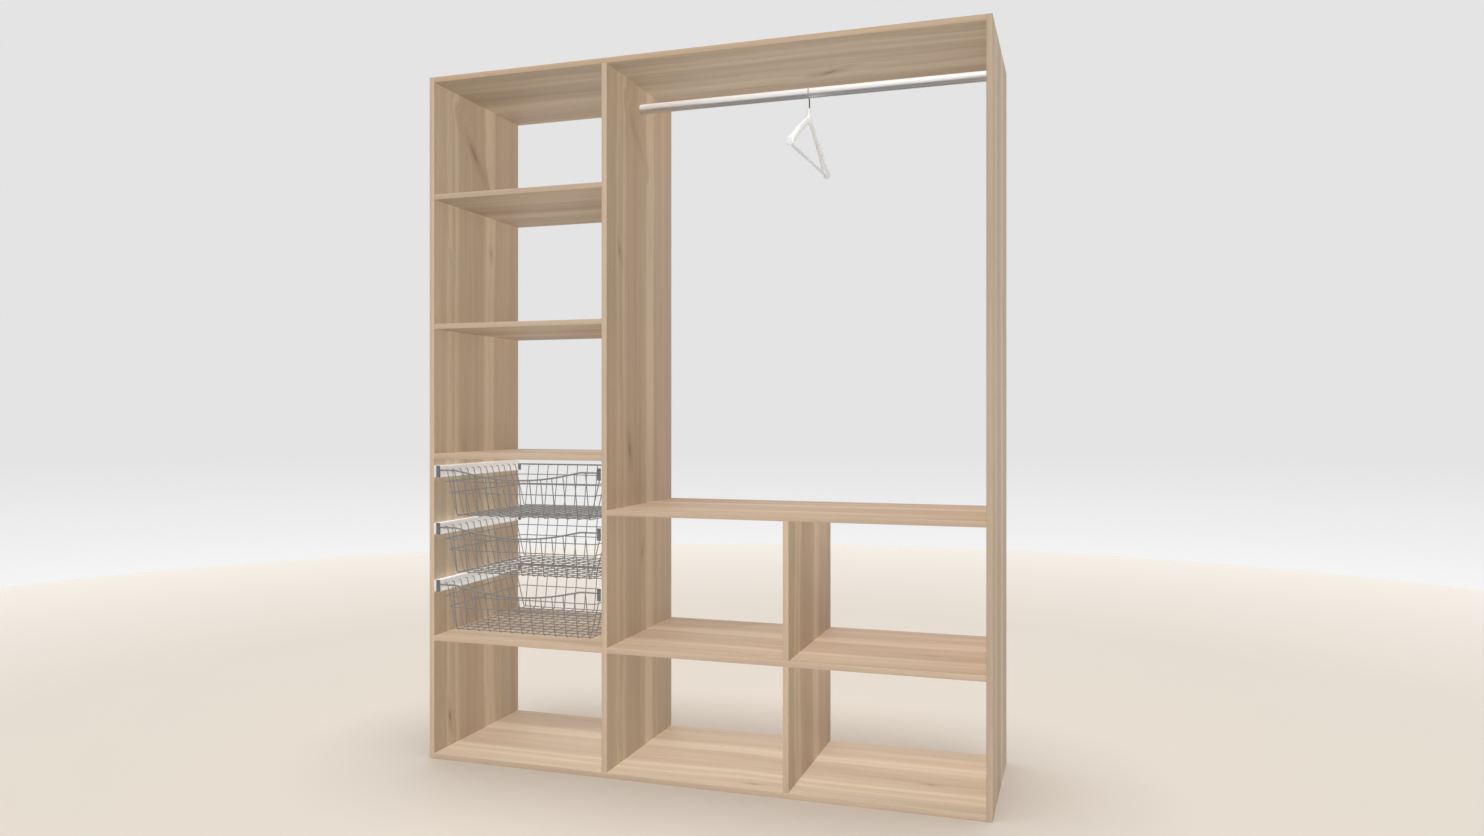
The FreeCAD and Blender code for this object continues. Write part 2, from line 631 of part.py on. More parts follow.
def long_wires():
    """The wires from front to rear. The front legs end under the dipped rim."""
    half_length = f"(({REAR_LEG} - {FRONT_LEG}) / 2)"
    body = body_at("long_wires", f"({REAR_LEG} + {FRONT_LEG}) / 2", RIM_LEVEL)
    bend = sketch_on(body, "long_wire_bend", "YZ_Plane", f"-({FLOOR_HALF} - Sizes.wire_width)")
    sides = []
    for way in (-1, 1):
        foot_middle = f"({half_length} - Sizes.front_lean)"
        foot_out, foot_in = leg_edges(way, foot_middle, FRONT_SKEW, FRONT_SLOPE, f"-{FLOOR_DROP}")
        top_out, top_in = ((f"{way} * ({half_length} {edge} {FRONT_SKEW})", "0") for edge in "+-")
        sides.append(([top_out, foot_out], [top_in, foot_in]))
    trough(bend, sides)
    wire = pad(body, "long_wire", bend, "Sizes.wire_width", both_ways=True)
    span = f"2 * ({FLOOR_HALF} - Sizes.wire_width)"
    repeat(body, "long_wire_row", wire, "X_Axis", span, "Sizes.long_wires")
    trim = sketch_on(body, "dip_trim", "XZ_Plane", half_length, FRONT_LEAN)
    start, end = dipped_line(trim, FLOOR_HALF, "0")
    above = "Sizes.rim_drop"
    corners = [(FLOOR_HALF, "0"), (FLOOR_HALF, above), (f"-{FLOOR_HALF}", above), (f"-{FLOOR_HALF}", "0")]
    spots = [Vector(size(x), size(y), 0) for x, y in corners]
    for near, far in zip(spots, spots[1:]):
        sketch_line = trim.addGeometry(Part.LineSegment(near, far), False)
    side, lid, other_side = sketch_line - 2, sketch_line - 1, sketch_line
    hold(trim, "Coincident", side, 1, end, 2)
    hold(trim, "Coincident", side, 2, lid, 1)
    hold(trim, "Coincident", lid, 2, other_side, 1)
    hold(trim, "Coincident", other_side, 2, start, 1)
    hold(trim, "Vertical", side)
    hold(trim, "Vertical", other_side)
    hold(trim, "Horizontal", lid)
    pin_point(trim, side, 2, None, above)
    cut(body, "dip_cut", trim, "4 * Sizes.rim_wire")
    return body


def cross_wires():
    """The wires from side to side, over the long ones, with hooked ends."""
    body = body_at("cross_wires", f"{FRONT} + Sizes.cross_setback", RIM_LEVEL)
    bend = sketch_on(body, "cross_wire_bend", "XZ_Plane")
    cross_floor = f"(Sizes.wire_width - {FLOOR_DROP})"
    sides = []
    for way in (-1, 1):
        foot_out, foot_in = leg_edges(way, FLOOR_HALF, SIDE_SKEW, SIDE_SLOPE, cross_floor)
        hook_out, hook_in = leg_edges(way, SIDE_LEG, SIDE_SKEW, SIDE_SLOPE, "0")
        tip_out, tip_in = ((f"{way} * {GLIDE_INNER}", f"{edge}{HALF_WIRE}") for edge in "-+")
        sides.append(([tip_out, hook_out, foot_out], [tip_in, hook_in, foot_in]))
    trough(bend, sides)
    wire = pad(body, "cross_wire", bend, "Sizes.wire_width", both_ways=True)
    last = f"({REAR_LEG} - Sizes.front_lean - {FRONT_SKEW} - Sizes.wire_width)"
    span = f"{last} - ({FRONT} + Sizes.cross_setback)"
    repeat(body, "cross_wire_row", wire, "Y_Axis", span, "Sizes.cross_wires")
    return body


def ring(name, drop):
    """A level wire round the outside of the legs, at a drop below the rim."""
    body = body_at(name, "0", f"{RIM_LEVEL} - {drop}")
    section = sketch_on(body, name + "_line", "XY_Plane")
    above = f"({drop} - {HALF_WIRE})"
    inner_side = f"({SIDE_LEG} - {SIDE_SLOPE} * {above} + {SIDE_SKEW} + Sizes.weld_gap)"
    inner_front = f"({FRONT_LEG} + {FRONT_SLOPE} * {above} - {FRONT_SKEW} - Sizes.weld_gap)"
    inner_rear = f"({REAR_LEG} - {FRONT_SLOPE} * {above} + {FRONT_SKEW} + Sizes.weld_gap)"
    for extra in ("0", "Sizes.wire_width"):
        x = f"({inner_side} + {extra})"
        front, rear = f"({inner_front} - {extra})", f"({inner_rear} + {extra})"
        outline(section, [(f"-{x}", front), (x, front), (x, rear), (f"-{x}", rear)])
    pad(body, name + "_wire", section, "Sizes.wire_width", both_ways=True)
    return body


def front_rim():
    """The thick front wire from cap to cap, dipped for a hand in the plane of the front legs."""
    body = body_at("front_rim", RIM_FRONT, RIM_LEVEL)
    path = sketch_on(body, "front_rim_line", "XZ_Plane", turn=FRONT_LEAN)
    dipped_line(path, CAP_INNER, "0")
    profile = sketch_on(body, "front_rim_section", "YZ_Plane", f"-{CAP_INNER}")
    round_wire(profile, "Sizes.rim_wire / 2")
    pipe = body.newObject("PartDesign::AdditivePipe", "front_rim_wire")
    pipe.Profile = profile
    pipe.Spine = (path, [f"Edge{index + 1}" for index in range(path.GeometryCount)])
    return body


def rear_rim():
    """The straight rear wire between the glides."""
    body = body_at("rear_rim", REAR_RIM, RIM_LEVEL)
    profile = sketch_on(body, "rear_rim_section", "YZ_Plane")
    round_wire(profile, "Sizes.rim_wire / 2")
    pad(body, "rear_rim_wire", profile, f"2 * {GLIDE_INNER}", both_ways=True)
    return body


fixed_pieces = {"runners": [runner(side, sign) for side, sign in SIDES.items()]}
basket_pieces = {
    "long_wires": [long_wires()],
    "cross_wires": [cross_wires()],
    "rings": [ring("first_ring", "Sizes.first_ring_drop"), ring("second_ring", "Sizes.second_ring_drop")],
    "front_rim": [front_rim()],
    "rear_rim": [rear_rim()],
    "glides": [glide(side, sign) for side, sign in SIDES.items()],
    "front_caps": [front_cap(side, sign) for side, sign in SIDES.items()],
    "rear_stops": [rear_stop(side, sign) for side, sign in SIDES.items()],
}
for number in range(1, BASKETS + 1):
    drop = f"{1 - number} * {BASKET_PITCH}"
    for piece, members in {**fixed_pieces, **basket_pieces}.items():
        node = f"basket_{number}_{piece}"
        keep(node, place(group(node, members), "0", "0", drop))
    key_height = f"({RUNNER_TOP} - Sizes.runner_tall / 2 + {drop})"
    for panel, face, inward in (("left_side_panel", LEFT_FACE, "-"), ("partition_panel", PARTITION, "+")):
        for end, turn in BACK_TO_FRONT.items():
            centre = f"{turn} * ({RUNNER_FRONT} + Sizes.runner_key_inset)"
            name = f"{panel}_runner_slot_{number}_{end}"
            key_slot(panel, name, face, inward, RUNNER_KEY, centre, key_height)


# Cut boards

for node, blank in blanks.items():
    cut_board = doc.addObject("Part::Cut", node + "_cut")
    cut_board.Base = blank
    cut_board.Tool = group(node + "_cutters", cutters[node])
    keep(node, cut_board)


# Clothes hanger
# A bent steel hook hangs over the rail and swivels in the neck of a shaped plastic body with a trouser bar.

HOOK_RADIUS = "(Sizes.rail_diameter / 2 + Sizes.hook_gap + Sizes.hook_wire / 2)"
SHANK_LOW = "(-Sizes.neck_drop - Sizes.shank_length)"


def hanger_part(name):
    """A body whose origin stands on the rail's axis above the hanger."""
    return place(doc.addObject("PartDesign::Body", name), HANGER_PLACE, "0", RAIL_HEIGHT)


def hanger_hook():
    """The hook's wire, from its head in the neck up and over the rail."""
    body = hanger_part("hook")
    radius, bend = size(HOOK_RADIUS), size("Sizes.hook_bend")
    reach = radius + bend
    fall = math.sqrt(reach**2 - bend**2)
    lean = math.atan2(fall, bend)
    path = sketch_on(body, "hook_line", "YZ_Plane")
    up = Vector(0, 0, 1)
    path.addGeometry(Part.LineSegment(Vector(0, size(SHANK_LOW), 0), Vector(0, -fall, 0)), False)
    small = Part.Circle(Vector(-bend, -fall, 0), up, bend)
    path.addGeometry(Part.ArcOfCircle(small, 0, lean), False)
    large = Part.Circle(Vector(0, 0, 0), up, radius)
    tip = math.asin(size("Sizes.hook_tip_drop") / radius)
    path.addGeometry(Part.ArcOfCircle(large, -tip, math.pi + lean), False)
    hold(path, "Tangent", 0, 2, 1, 1)
    hold(path, "Tangent", 1, 2, 2, 2)
    pin_point(path, 0, 1, "0", SHANK_LOW)
    hold(path, "Vertical", 0)
    hold_radius(path, 1, "Sizes.hook_bend")
    pin_point(path, 2, 3, "0", "0")
    hold_radius(path, 2, HOOK_RADIUS)
    pin_point(path, 2, 1, None, "-Sizes.hook_tip_drop")
    profile = sketch_on(body, "hook_section", "XY_Plane", SHANK_LOW)
    round_wire(profile, "Sizes.hook_wire / 2")
    pipe = body.newObject("PartDesign::AdditivePipe", "hook_wire")
    pipe.Profile = profile
    pipe.Spine = (path, ["Edge1", "Edge2", "Edge3"])
    head = sketch_on(body, "hook_head_section", "XY_Plane", SHANK_LOW)
    circle(head, "0", "0", "Sizes.shank_head_radius")
    pad(body, "hook_head", head, "Sizes.shank_head_tall")
    return body


def hanger_body():
    """The neck and both shoulders, which widen towards their tips, with a lug for the bar under each."""
    body = hanger_part("shoulders")
    root = "(-Sizes.neck_drop - Sizes.neck_tall)"
    # Stations along one shoulder, each as its shares of the half span, the drop, the widening and the height
    station_shares = {
        "middle": (0, 0, 0, 0),
        "root": (0.16, 0.06, 0, 0.1),
        "arm": (0.5, 0.4, 0.3, 0.4),
        "shoulder": (0.8, 0.79, 0.7, 0.8),
        "tip": (1, 1, 1, 1),
    }
    stations = [(name, 1, shares) for name, shares in station_shares.items()]
    stations = [(name, -1, shares) for name, _, shares in reversed(stations[1:])] + stations
    sections = []
    for name, way, (place_share, fall_share, width_share, tall_share) in stations:
        wide = f"({1 - width_share} * Sizes.shoulder_root_width + {width_share} * Sizes.shoulder_tip_width)"
        tall = f"({1 - tall_share} * Sizes.shoulder_root_tall + {tall_share} * Sizes.shoulder_tip_tall)"
        station = f"{-way * place_share} * Sizes.shoulder_span / 2"
        section = sketch_on(body, f"{name}_section", "XZ_Plane", station)
        centre = f"({root} - {fall_share} * Sizes.shoulder_drop)"
        corner = f"({wide} * Sizes.shoulder_corner_share)"
        octagon(section, f"({wide} / 2)", f"({tall} / 2)", corner, "0", centre)
        sections.append(section)
    loft = body.newObject("PartDesign::AdditiveLoft", "shoulder_loft")
    loft.Profile = sections[0]
    loft.Sections = sections[1:]
    loft.Ruled = True
    foot = sketch_on(body, "neck_section", "XY_Plane", root)
    neck_corner = "(Sizes.neck_width * Sizes.neck_corner_share)"
    octagon(foot, "(Sizes.neck_width / 2)", "(Sizes.neck_length / 2)", neck_corner)
    pad(body, "neck", foot, "Sizes.neck_tall")
    bar = "(-Sizes.neck_drop - Sizes.bar_drop)"
    lugs = sketch_on(body, "lug_outline", "YZ_Plane")
    lug_low, lug_high = (f"{bar} {way} Sizes.lug_width / 2" for way in "-+")
    lug_high += " + Sizes.lug_width / 2"
    inner = "(Sizes.shoulder_span / 2 - Sizes.lug_inset)"
    outer = f"({inner} + Sizes.lug_length)"
    for way in (-1, 1):
        near, far = f"{way} * {inner}", f"{way} * {outer}"
        outline(lugs, [(near, lug_low), (far, lug_low), (far, lug_high), (near, lug_high)])
    pad(body, "lugs", lugs, "Sizes.lug_width", both_ways=True)
    seat = sketch_on(body, "bar_seat_section", "XZ_Plane")
    circle(seat, "0", bar, "Sizes.trouser_bar_radius + Sizes.bar_clearance")
    cut(body, "bar_seats", seat, f"2 * ({inner} + Sizes.bar_seat)")
    bore = sketch_on(body, "swivel_outline", "XZ_Plane")
    shank = "(Sizes.hook_wire / 2 / cos(22.5) + Sizes.swivel_clearance)"
    head = "(Sizes.shank_head_radius + Sizes.swivel_clearance)"
    head_low = f"({SHANK_LOW} - Sizes.swivel_clearance)"
    head_high = f"({SHANK_LOW} + Sizes.shank_head_tall + Sizes.swivel_clearance)"
    mouth = "(-Sizes.neck_drop)"
    cavity = [("0", head_low), (head, head_low), (head, head_high)]
    outline(bore, cavity + [(shank, head_high), (shank, mouth), ("0", mouth)])
    groove = body.newObject("PartDesign::Groove", "swivel_bore")
    groove.Profile = bore
    groove.ReferenceAxis = (plane_of(body, "Z_Axis"), [""])
    groove.Angle = 360
    return body


def trouser_bar():
    """The round bar between the lugs."""
    half = "(Sizes.shoulder_span / 2 - Sizes.lug_inset + Sizes.bar_seat)"
    z = f"{RAIL_HEIGHT} - Sizes.neck_drop - Sizes.bar_drop"
    radius = "Sizes.trouser_bar_radius"
    return rod("bar", "Y", radius, f"2 * {half}", HANGER_PLACE, f"-{half}", z)


keep("hanger_hook", hanger_hook())
keep("hanger_body", hanger_body())
keep("hanger_bar", trouser_bar())


# Check and write

doc.recompute()
for thing in doc.Objects:
    if "Invalid" in thing.State or "Error" in thing.State:
        raise RuntimeError(f"{thing.Label} is {thing.State}: {thing.getStatusString()}")
for node, thing in subparts.items():
    if thing.Shape.isNull() or not thing.Shape.isValid():
        raise RuntimeError(f"the shape of {node} is not valid")

os.makedirs("parts", exist_ok=True)
for node, thing in subparts.items():
    thing.Shape.exportStep(f"parts/{node}.step")
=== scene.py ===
import math

import bmesh
import bpy
from bpy.props import FloatProperty, FloatVectorProperty, IntProperty, PointerProperty
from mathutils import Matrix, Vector


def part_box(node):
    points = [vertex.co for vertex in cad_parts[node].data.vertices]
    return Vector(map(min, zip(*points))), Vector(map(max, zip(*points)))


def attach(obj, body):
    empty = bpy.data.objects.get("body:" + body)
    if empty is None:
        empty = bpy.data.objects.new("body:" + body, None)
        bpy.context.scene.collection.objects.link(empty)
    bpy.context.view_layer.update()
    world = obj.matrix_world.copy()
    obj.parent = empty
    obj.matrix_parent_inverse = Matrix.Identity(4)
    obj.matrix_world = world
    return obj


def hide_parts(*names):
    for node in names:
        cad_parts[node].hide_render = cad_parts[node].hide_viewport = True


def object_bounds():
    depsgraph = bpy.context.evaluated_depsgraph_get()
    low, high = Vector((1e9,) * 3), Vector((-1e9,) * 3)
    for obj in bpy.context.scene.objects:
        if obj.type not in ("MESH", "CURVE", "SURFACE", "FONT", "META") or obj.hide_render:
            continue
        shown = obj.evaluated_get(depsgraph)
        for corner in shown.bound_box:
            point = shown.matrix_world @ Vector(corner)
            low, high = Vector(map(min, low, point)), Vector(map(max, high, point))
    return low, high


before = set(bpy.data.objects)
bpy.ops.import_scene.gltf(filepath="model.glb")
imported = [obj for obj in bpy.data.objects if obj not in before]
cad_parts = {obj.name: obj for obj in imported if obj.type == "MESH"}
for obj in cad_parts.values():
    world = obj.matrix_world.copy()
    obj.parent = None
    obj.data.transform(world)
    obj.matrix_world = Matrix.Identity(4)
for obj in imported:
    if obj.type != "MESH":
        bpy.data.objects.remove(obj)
CAD_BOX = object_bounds()

bl_info = {
    "name": "Closet system finish",
    "version": (1, 0, 0),
    "blender": (4, 5, 0),
    "location": "3D View > Sidebar > Closet",
    "description": "Builds the faced boards, wire baskets, rail and hanger of an open closet system",
    "category": "Object",
}

# Boards by the axis that their grain runs along
BOARDS = {
    "X": [
        "top_board", "bottom_board", "upper_shelf", "middle_shelf", "lower_shelf", "base_shelf", "wide_shelf",
        "cube_shelf",
    ],
    "Z": ["left_side_panel", "right_side_panel", "partition_panel", "upper_divider", "lower_divider"],
}
# Boards with an edge band on top, besides those at the front and the rear
TOPPED = ("left_side_panel", "right_side_panel")
BASKETS = (1, 2, 3)

# In metres: places nearer than this are one, cutters go on past a shape, and welded shapes overlap
NEAR = 1e-5
PAST = 0.01
OVERLAP = 0.001

# Share of the planks and of the bands in the facing's tone by grain, and its specular level
FACING = {"Z": (0.40, 0.42, 0.15), "X": (0.27, 0.62, 0.11)}

# Planks of the facing from the boards' front at 0 to their rear at 1: place and brightness, place and redness
PLANKS = [
    (0.00, 0.42), (0.12, 0.38), (0.147, 0.85), (0.17, 0.62), (0.206, 0.40), (0.235, 0.90), (0.29, 0.34),
    (0.46, 0.26), (0.55, 0.38), (0.59, 0.88), (0.67, 0.80), (0.71, 0.42), (0.86, 0.46), (0.93, 0.20),
    (1.00, 0.36),
]
REDNESS = [
    (0.00, 0.45), (0.13, 0.30), (0.16, 0.00), (0.25, 0.10), (0.32, 0.60), (0.54, 0.55), (0.60, 0.00),
    (0.67, 0.05), (0.73, 0.95), (1.00, 0.80),
]

# Knots of the facing by grain: depth, place across the boards, place along the grain, half width,
# half length and slant
KNOTS = {
    "Z": [
        (-0.027, -0.84, 1.918, 0.0075, 0.038, 0.72),
        (-0.168, -0.84, 0.108, 0.0060, 0.022, 0.20),
        (0.0755, -0.84, 1.607, 0.0040, 0.013, 0.10),
        (-0.163, -0.25, 1.553, 0.0040, 0.015, 0.30),
        (-0.088, -0.25, 0.953, 0.0065, 0.022, 0.15),
        (0.006, -0.25, 0.629, 0.0045, 0.015, -0.20),
        (0.120, 0.84, 1.350, 0.0070, 0.026, 0.30),
    ],
    "X": [
        (-0.066, 0.01, 0.665, 0.0035, 0.012, 0.10),
        (-0.213, 0.01, 0.187, 0.0035, 0.012, 0.00),
        (0.090, 0.77, 0.300, 0.0045, 0.014, 0.20),
        (0.027, 2.10, 0.352, 0.0070, 0.034, 0.45),
    ],
}

# Painted light and shade by board: place across the boards, and shares of red, green and blue
# A painted sheen lights the right side panel; painted shade dims the middle upright boards and the boards
# above the bottom board
BOARD_PAINTED_LIGHT = {
    "Z": [
        (-0.85, (1.02, 1.02, 1.02)), (-0.70, (1.02, 1.02, 1.02)), (-0.26, (0.93, 0.92, 0.91)),
        (0.29, (0.93, 0.92, 0.92)), (0.70, (1.02, 1.02, 1.02)), (0.86, (1.11, 1.12, 1.13)),
    ],
    "X": [
        (0.00, (1.02, 1.02, 1.03)), (0.20, (1.02, 1.02, 1.03)), (0.38, (0.93, 0.88, 0.86)),
        (0.78, (0.90, 0.83, 0.80)), (1.00, (0.88, 0.88, 0.89)), (1.80, (0.87, 0.89, 0.93)),
        (2.11, (0.89, 0.92, 0.96)),
    ],
}
# The edge bands, by the same columns: lighter on the left side panel, darker on the right one, and warmer on
# the top board
BAND_TONES = {
    "Z": [
        (-0.85, (1.04, 1.04, 1.04)), (-0.26, (1.00, 1.00, 1.00)), (0.29, (1.00, 1.00, 1.00)),
        (0.86, (0.87, 0.88, 0.88)),
    ],
    "X": [(0.00, (0.93, 0.93, 0.93)), (1.80, (0.93, 0.93, 0.93)), (2.11, (0.95, 0.92, 0.86))],
}
# Painted light and shade on the partition by height, as it stands between dim cells below and an open bay
# above: painted light below, painted shade above; height and shares of red, green and blue
PARTITION_PAINTED_LIGHT = [
    (0.00, (1.06, 1.11, 1.14)), (0.74, (1.06, 1.08, 1.09)), (0.82, (1.00, 0.97, 0.95)),
    (2.10, (0.94, 0.91, 0.87)),
]


# Sizes and colours that a user would change


def number(name, description, value, low=0.0, unit="NONE"):
    """A number with a lowest value."""
    return FloatProperty(name=name, description=description, default=value, min=low, unit=unit)


def count(name, description, value, low):
    """A whole number with a lowest value."""
    return IntProperty(name=name, description=description, default=value, min=low)


def length(name, description, value):
    """A size in metres."""
    return number(name, description, value, unit="LENGTH")


def lengths(name, description, values):
    """Several sizes or coordinates in metres."""
    return FloatVectorProperty(
        name=name, description=description, default=values, size=len(values), unit="LENGTH"
    )


def angle(name, description, degrees):
    """An angle, given here in degrees."""
    return number(name, description, math.radians(degrees), unit="ROTATION")


def colour(name, description, value):
    """A colour without alpha."""
    return FloatVectorProperty(
        name=name, description=description, default=value, size=3, min=0.0, max=1.0, subtype="COLOR"
    )


class BoardSettings(bpy.types.PropertyGroup):
    """The wood-look boards."""

    band: length("Edge band", "Thickness of the band glued on the open edges", 0.001)
    round_over: length("Edge radius", "Rounding of the band's long edges", 0.0008)
    light: colour("Light grain", "Colour of the light grain", (0.655, 0.550, 0.415))
    dark: colour("Dark grain", "Colour of the dark grain", (0.415, 0.337, 0.244))
    warm: colour("Warm grain", "Light grain of the reddish planks", (0.614, 0.483, 0.362))
    warm_dark: colour("Warm dark grain", "Dark grain of the reddish planks", (0.408, 0.308, 0.225))
    edge: colour("Edge band colour", "Colour of the edge bands", (0.640, 0.488, 0.360))
    tongue: colour("Tongue colour", "Colour of the loose tongues in the joints", (0.60, 0.44, 0.28))


class RailSettings(bpy.types.PropertyGroup):
    """The hanging rail."""

    wall: length("Wall", "Wall thickness of the tube", 0.0015)
    sides: count("Sides", "Sides of the round tube", 72, 12)
    # Painted light on the tube: above this line it is pale and less metallic, a painted highlight, and below
    # it darker, a painted shade
    seam: length("Seam", "How far below the axis the darker lower side begins", 0.004)
    chrome: colour("Chrome", "Colour of the plated tube", (0.96, 0.98, 1.00))
    chrome_under: colour("Chrome below", "Colour of the tube's darker lower side", (0.68, 0.71, 0.75))
    plug: colour("Plug colour", "Colour of the plugs in the tube's ends", (0.32, 0.32, 0.32))


class SlideSettings(bpy.types.PropertyGroup):
    """Runners on the boards and glides, caps and stops on the baskets."""

    runner: length("Runner", "Thickness of the runner", 0.007)
    web: length("Web", "Thickness of the runner's web and lips", 0.0025)
    play: length("Play", "Gap between glide and runner", 0.0003)
    plate: length("Plate", "Thickness of the glide's plate", 0.006)
    plate_rim: length("Plate rim", "Width of the rim round the glide's shallow field", 0.004)
    plate_field: length("Plate field", "Depth of the glide's shallow field", 0.0008)
    edge: length("Edge radius", "Rounding of the moulded edges", 0.0006)
    flange: length("Flange", "How far the runner's web reaches out to the board's front edge", 0.007)
    cap: length("Cap", "Width of the cap's holder", 0.010)
    cap_plate: length("Cap plate", "Depth of the cap's grey front plate", 0.0032)
    cap_set: length("Cap setback", "How far the front plate is set back from the holder's place", 0.0035)
    cap_lip: length("Cap lip", "How far the front plate covers the runner's lips", 0.0034)
    cap_corner: length("Cap corner", "Rounding of the cap's front corners", 0.0016)
    cap_rim: length("Cap rim", "Width of the rim round the cap's shallow field", 0.0014)
    cap_field: length("Cap field", "Depth of the cap's shallow field", 0.0006)
    stop_width: length("Stop width", "Width of the rear stop", 0.011)
    stop_height: length("Stop height", "Height of the rear stop", 0.021)
    white: colour("White", "Colour of runners and glides", (0.975, 0.99, 1.00))
    grey: colour("Grey plastic", "Colour of caps and stops", (0.155, 0.150, 0.158))


class BasketSettings(bpy.types.PropertyGroup):
    """The wire baskets."""

    long_count: count("Long wires", "Number of wires from front to rear", 13, 2)
    cross_count: count("Cross wires", "Number of wires from side to side", 12, 2)
    wire: length("Wire", "Thickness of the thin wires", 0.003)
    rim: length("Rim wire", "Thickness of the two rim wires", 0.005)
    bend: length("Bend radius", "Bend radius of the thin wires", 0.007)
    hook_bend: length("Hook bend", "Bend radius of the cross wires' hooked ends", 0.0022)
    ring_bend: length("Ring bend", "Bend radius of the ring wires' corners", 0.014)
    front_lean: length("Front lean", "How far the front and rear walls lean in at the floor", 0.026)
    side_lean: length("Side lean", "How far the side walls lean in at the floor", 0.035)
    dip: length("Dip", "Depth of the front rim's dip", 0.028)
    rim_flat: length("Rim flat", "Run of the front rim from each cap's place to its bend", 0.0517)
    rim_bend: length("Rim bend", "Bend radius of the front rim at the dip's ends", 0.060)
    rim_slope: number("Rim slope", "Fall of the dip's sides for their run", 0.21, low=0.01)
    rim_hold: length("Rim hold", "How far the front rim reaches into each cap", 0.006)
    hold: length("Hold", "How far the other wires' ends reach into the glides", 0.0009)
    rings: lengths("Rings", "Drops of the ring wires under the rim", (0.035, 0.070))
    weld: length("Weld depth", "How far crossing wires are pressed into each other", 0.0002)
    coating: colour("Wire colour", "Colour of the coated wire", (0.240, 0.238, 0.235))


class HangerSettings(bpy.types.PropertyGroup):
    """The clothes hanger."""

    hook_wire: length("Hook wire", "Thickness of the hook's wire", 0.004)
    hook_bend: length("Hook bend", "Radius of the bend between shank and hook", 0.010)
    tip_drop: length("Tip drop", "Drop of the hook's tip below the rail's axis", 0.006)
    # The hook turns to a paler grey from the first length under the rail's lower side to the second over it
    wear: lengths("Wear", "Under and over the rail's lower side, where the hook turns bare", (0.006, 0.002))
    neck: length("Neck", "Height of the neck over the shoulders' middle line", 0.038)
    bar_size: length("Bar size", "Thickness of the bar", 0.009)
    bar_edge: length("Bar edge", "Rounding of the bar's ends", 0.0008)
    steel: colour("Hook colour", "Colour of the steel hook", (0.12, 0.12, 0.12))
    # The paler grey of the hook's top
    bare: colour("Bare steel", "Colour of the hook where it rubs on the rail", (0.58, 0.58, 0.58))
    body: colour("Hanger colour", "Colour of the moulded shoulders", (0.95, 0.98, 1.00))
    # Painted shade on the shoulders' underside
    under: colour("Underside", "Colour of the shoulders' duller underside", (0.80, 0.85, 0.90))
    bar: colour("Bar colour", "Colour of the bar", (0.76, 0.81, 0.86))


class StageSettings(bpy.types.PropertyGroup):
    """Floor, backdrop, lamps and camera."""

    floor: colour("Floor", "Colour of the floor", (0.715, 0.650, 0.577))
    far: colour("Far floor", "Colour of the floor towards its edge", (0.84, 0.79, 0.72))
    # Painted reflection: metal sees the floor as a glow of this dark colour
    mirrored: colour("Mirrored floor", "Colour of the floor as metal mirrors it", (0.16, 0.165, 0.175))
    wall: colour("Wall", "Colour of the backdrop above the horizon", (0.775, 0.775, 0.775))
    haze: colour("Haze", "Colour of the backdrop below the horizon", (0.985, 0.985, 0.985))
    sky: number("Room light", "Strength of the even room light", 0.17)
    key: number("Key lamp", "Strength of the high lamp in front", 3.05)
    low: number("Low lamp", "Strength of the lamp that lights undersides", 0.9)
    back: number("Rear lamp", "Strength of the lamp behind on the left", 1.3)
    top: number("Top lamp", "Strength of the lamp over the floor", 2.95)
    spread: angle("Spread", "Angle that each lamp on the object fills", 70)
    top_spread: angle("Top spread", "Angle that the lamp over the floor fills", 30)
    camera: lengths("Camera", "Place of the camera", (1.0786, -3.0732, 1.0514))
    heading: angle("Heading", "Turn of the camera to the left of straight back", 17.95)
    lens: number("Lens", "Focal length of the camera", 25.69, low=1.0, unit="CAMERA")
    sensor: number("Sensor", "Width of the camera's sensor", 36.0, low=1.0, unit="CAMERA")


# Modelling helpers


def deselect():
    """Leaves edit mode and deselects everything."""
    if bpy.context.object and bpy.context.object.mode != "OBJECT":
        bpy.ops.object.mode_set(mode="OBJECT")
    bpy.ops.object.select_all(action="DESELECT")


def choose(*pieces):
    """Makes these the only selected objects, the first one active."""
    deselect()
    for piece in pieces:
        piece.select_set(True)
    bpy.context.view_layer.objects.active = pieces[0]


def settle(name):
    """Names the object just added, and moves its place into its mesh."""
    bpy.ops.object.transform_apply(location=True, rotation=True, scale=True)
    piece = bpy.context.object
    piece.name = piece.data.name = name
    return piece


def block(name, *ranges):
    """A block over a range of each axis, both ends given in any order."""
    deselect()
    low, high = Vector(map(min, ranges)), Vector(map(max, ranges))
    bpy.ops.mesh.primitive_cube_add(size=1, location=(low + high) / 2, scale=high - low)
    return settle(name)


def rod(name, start, end, radius, sides):
    """A round bar from start to end."""
    deselect()
    run = end - start
    turn = run.to_track_quat("Z", "Y").to_euler()
    bpy.ops.mesh.primitive_cylinder_add(
        vertices=sides, radius=radius, depth=run.length, location=(start + end) / 2, rotation=turn
    )
    return settle(name)


def middle_line(node_name, axis):
    """Both ends of a CAD node's middle line along an axis, given as 0, 1 or 2."""
    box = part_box(node_name)
    ends = []
    for corner in box:
        end = (box[0] + box[1]) / 2
        end[axis] = corner[axis]
        ends.append(end)
    return ends


def edit(piece):
    """Opens a piece in edit mode with everything selected."""
    choose(piece)
    bpy.ops.object.mode_set(mode="EDIT")
    bpy.ops.mesh.select_mode(type="VERT")
    bpy.ops.mesh.select_all(action="SELECT")


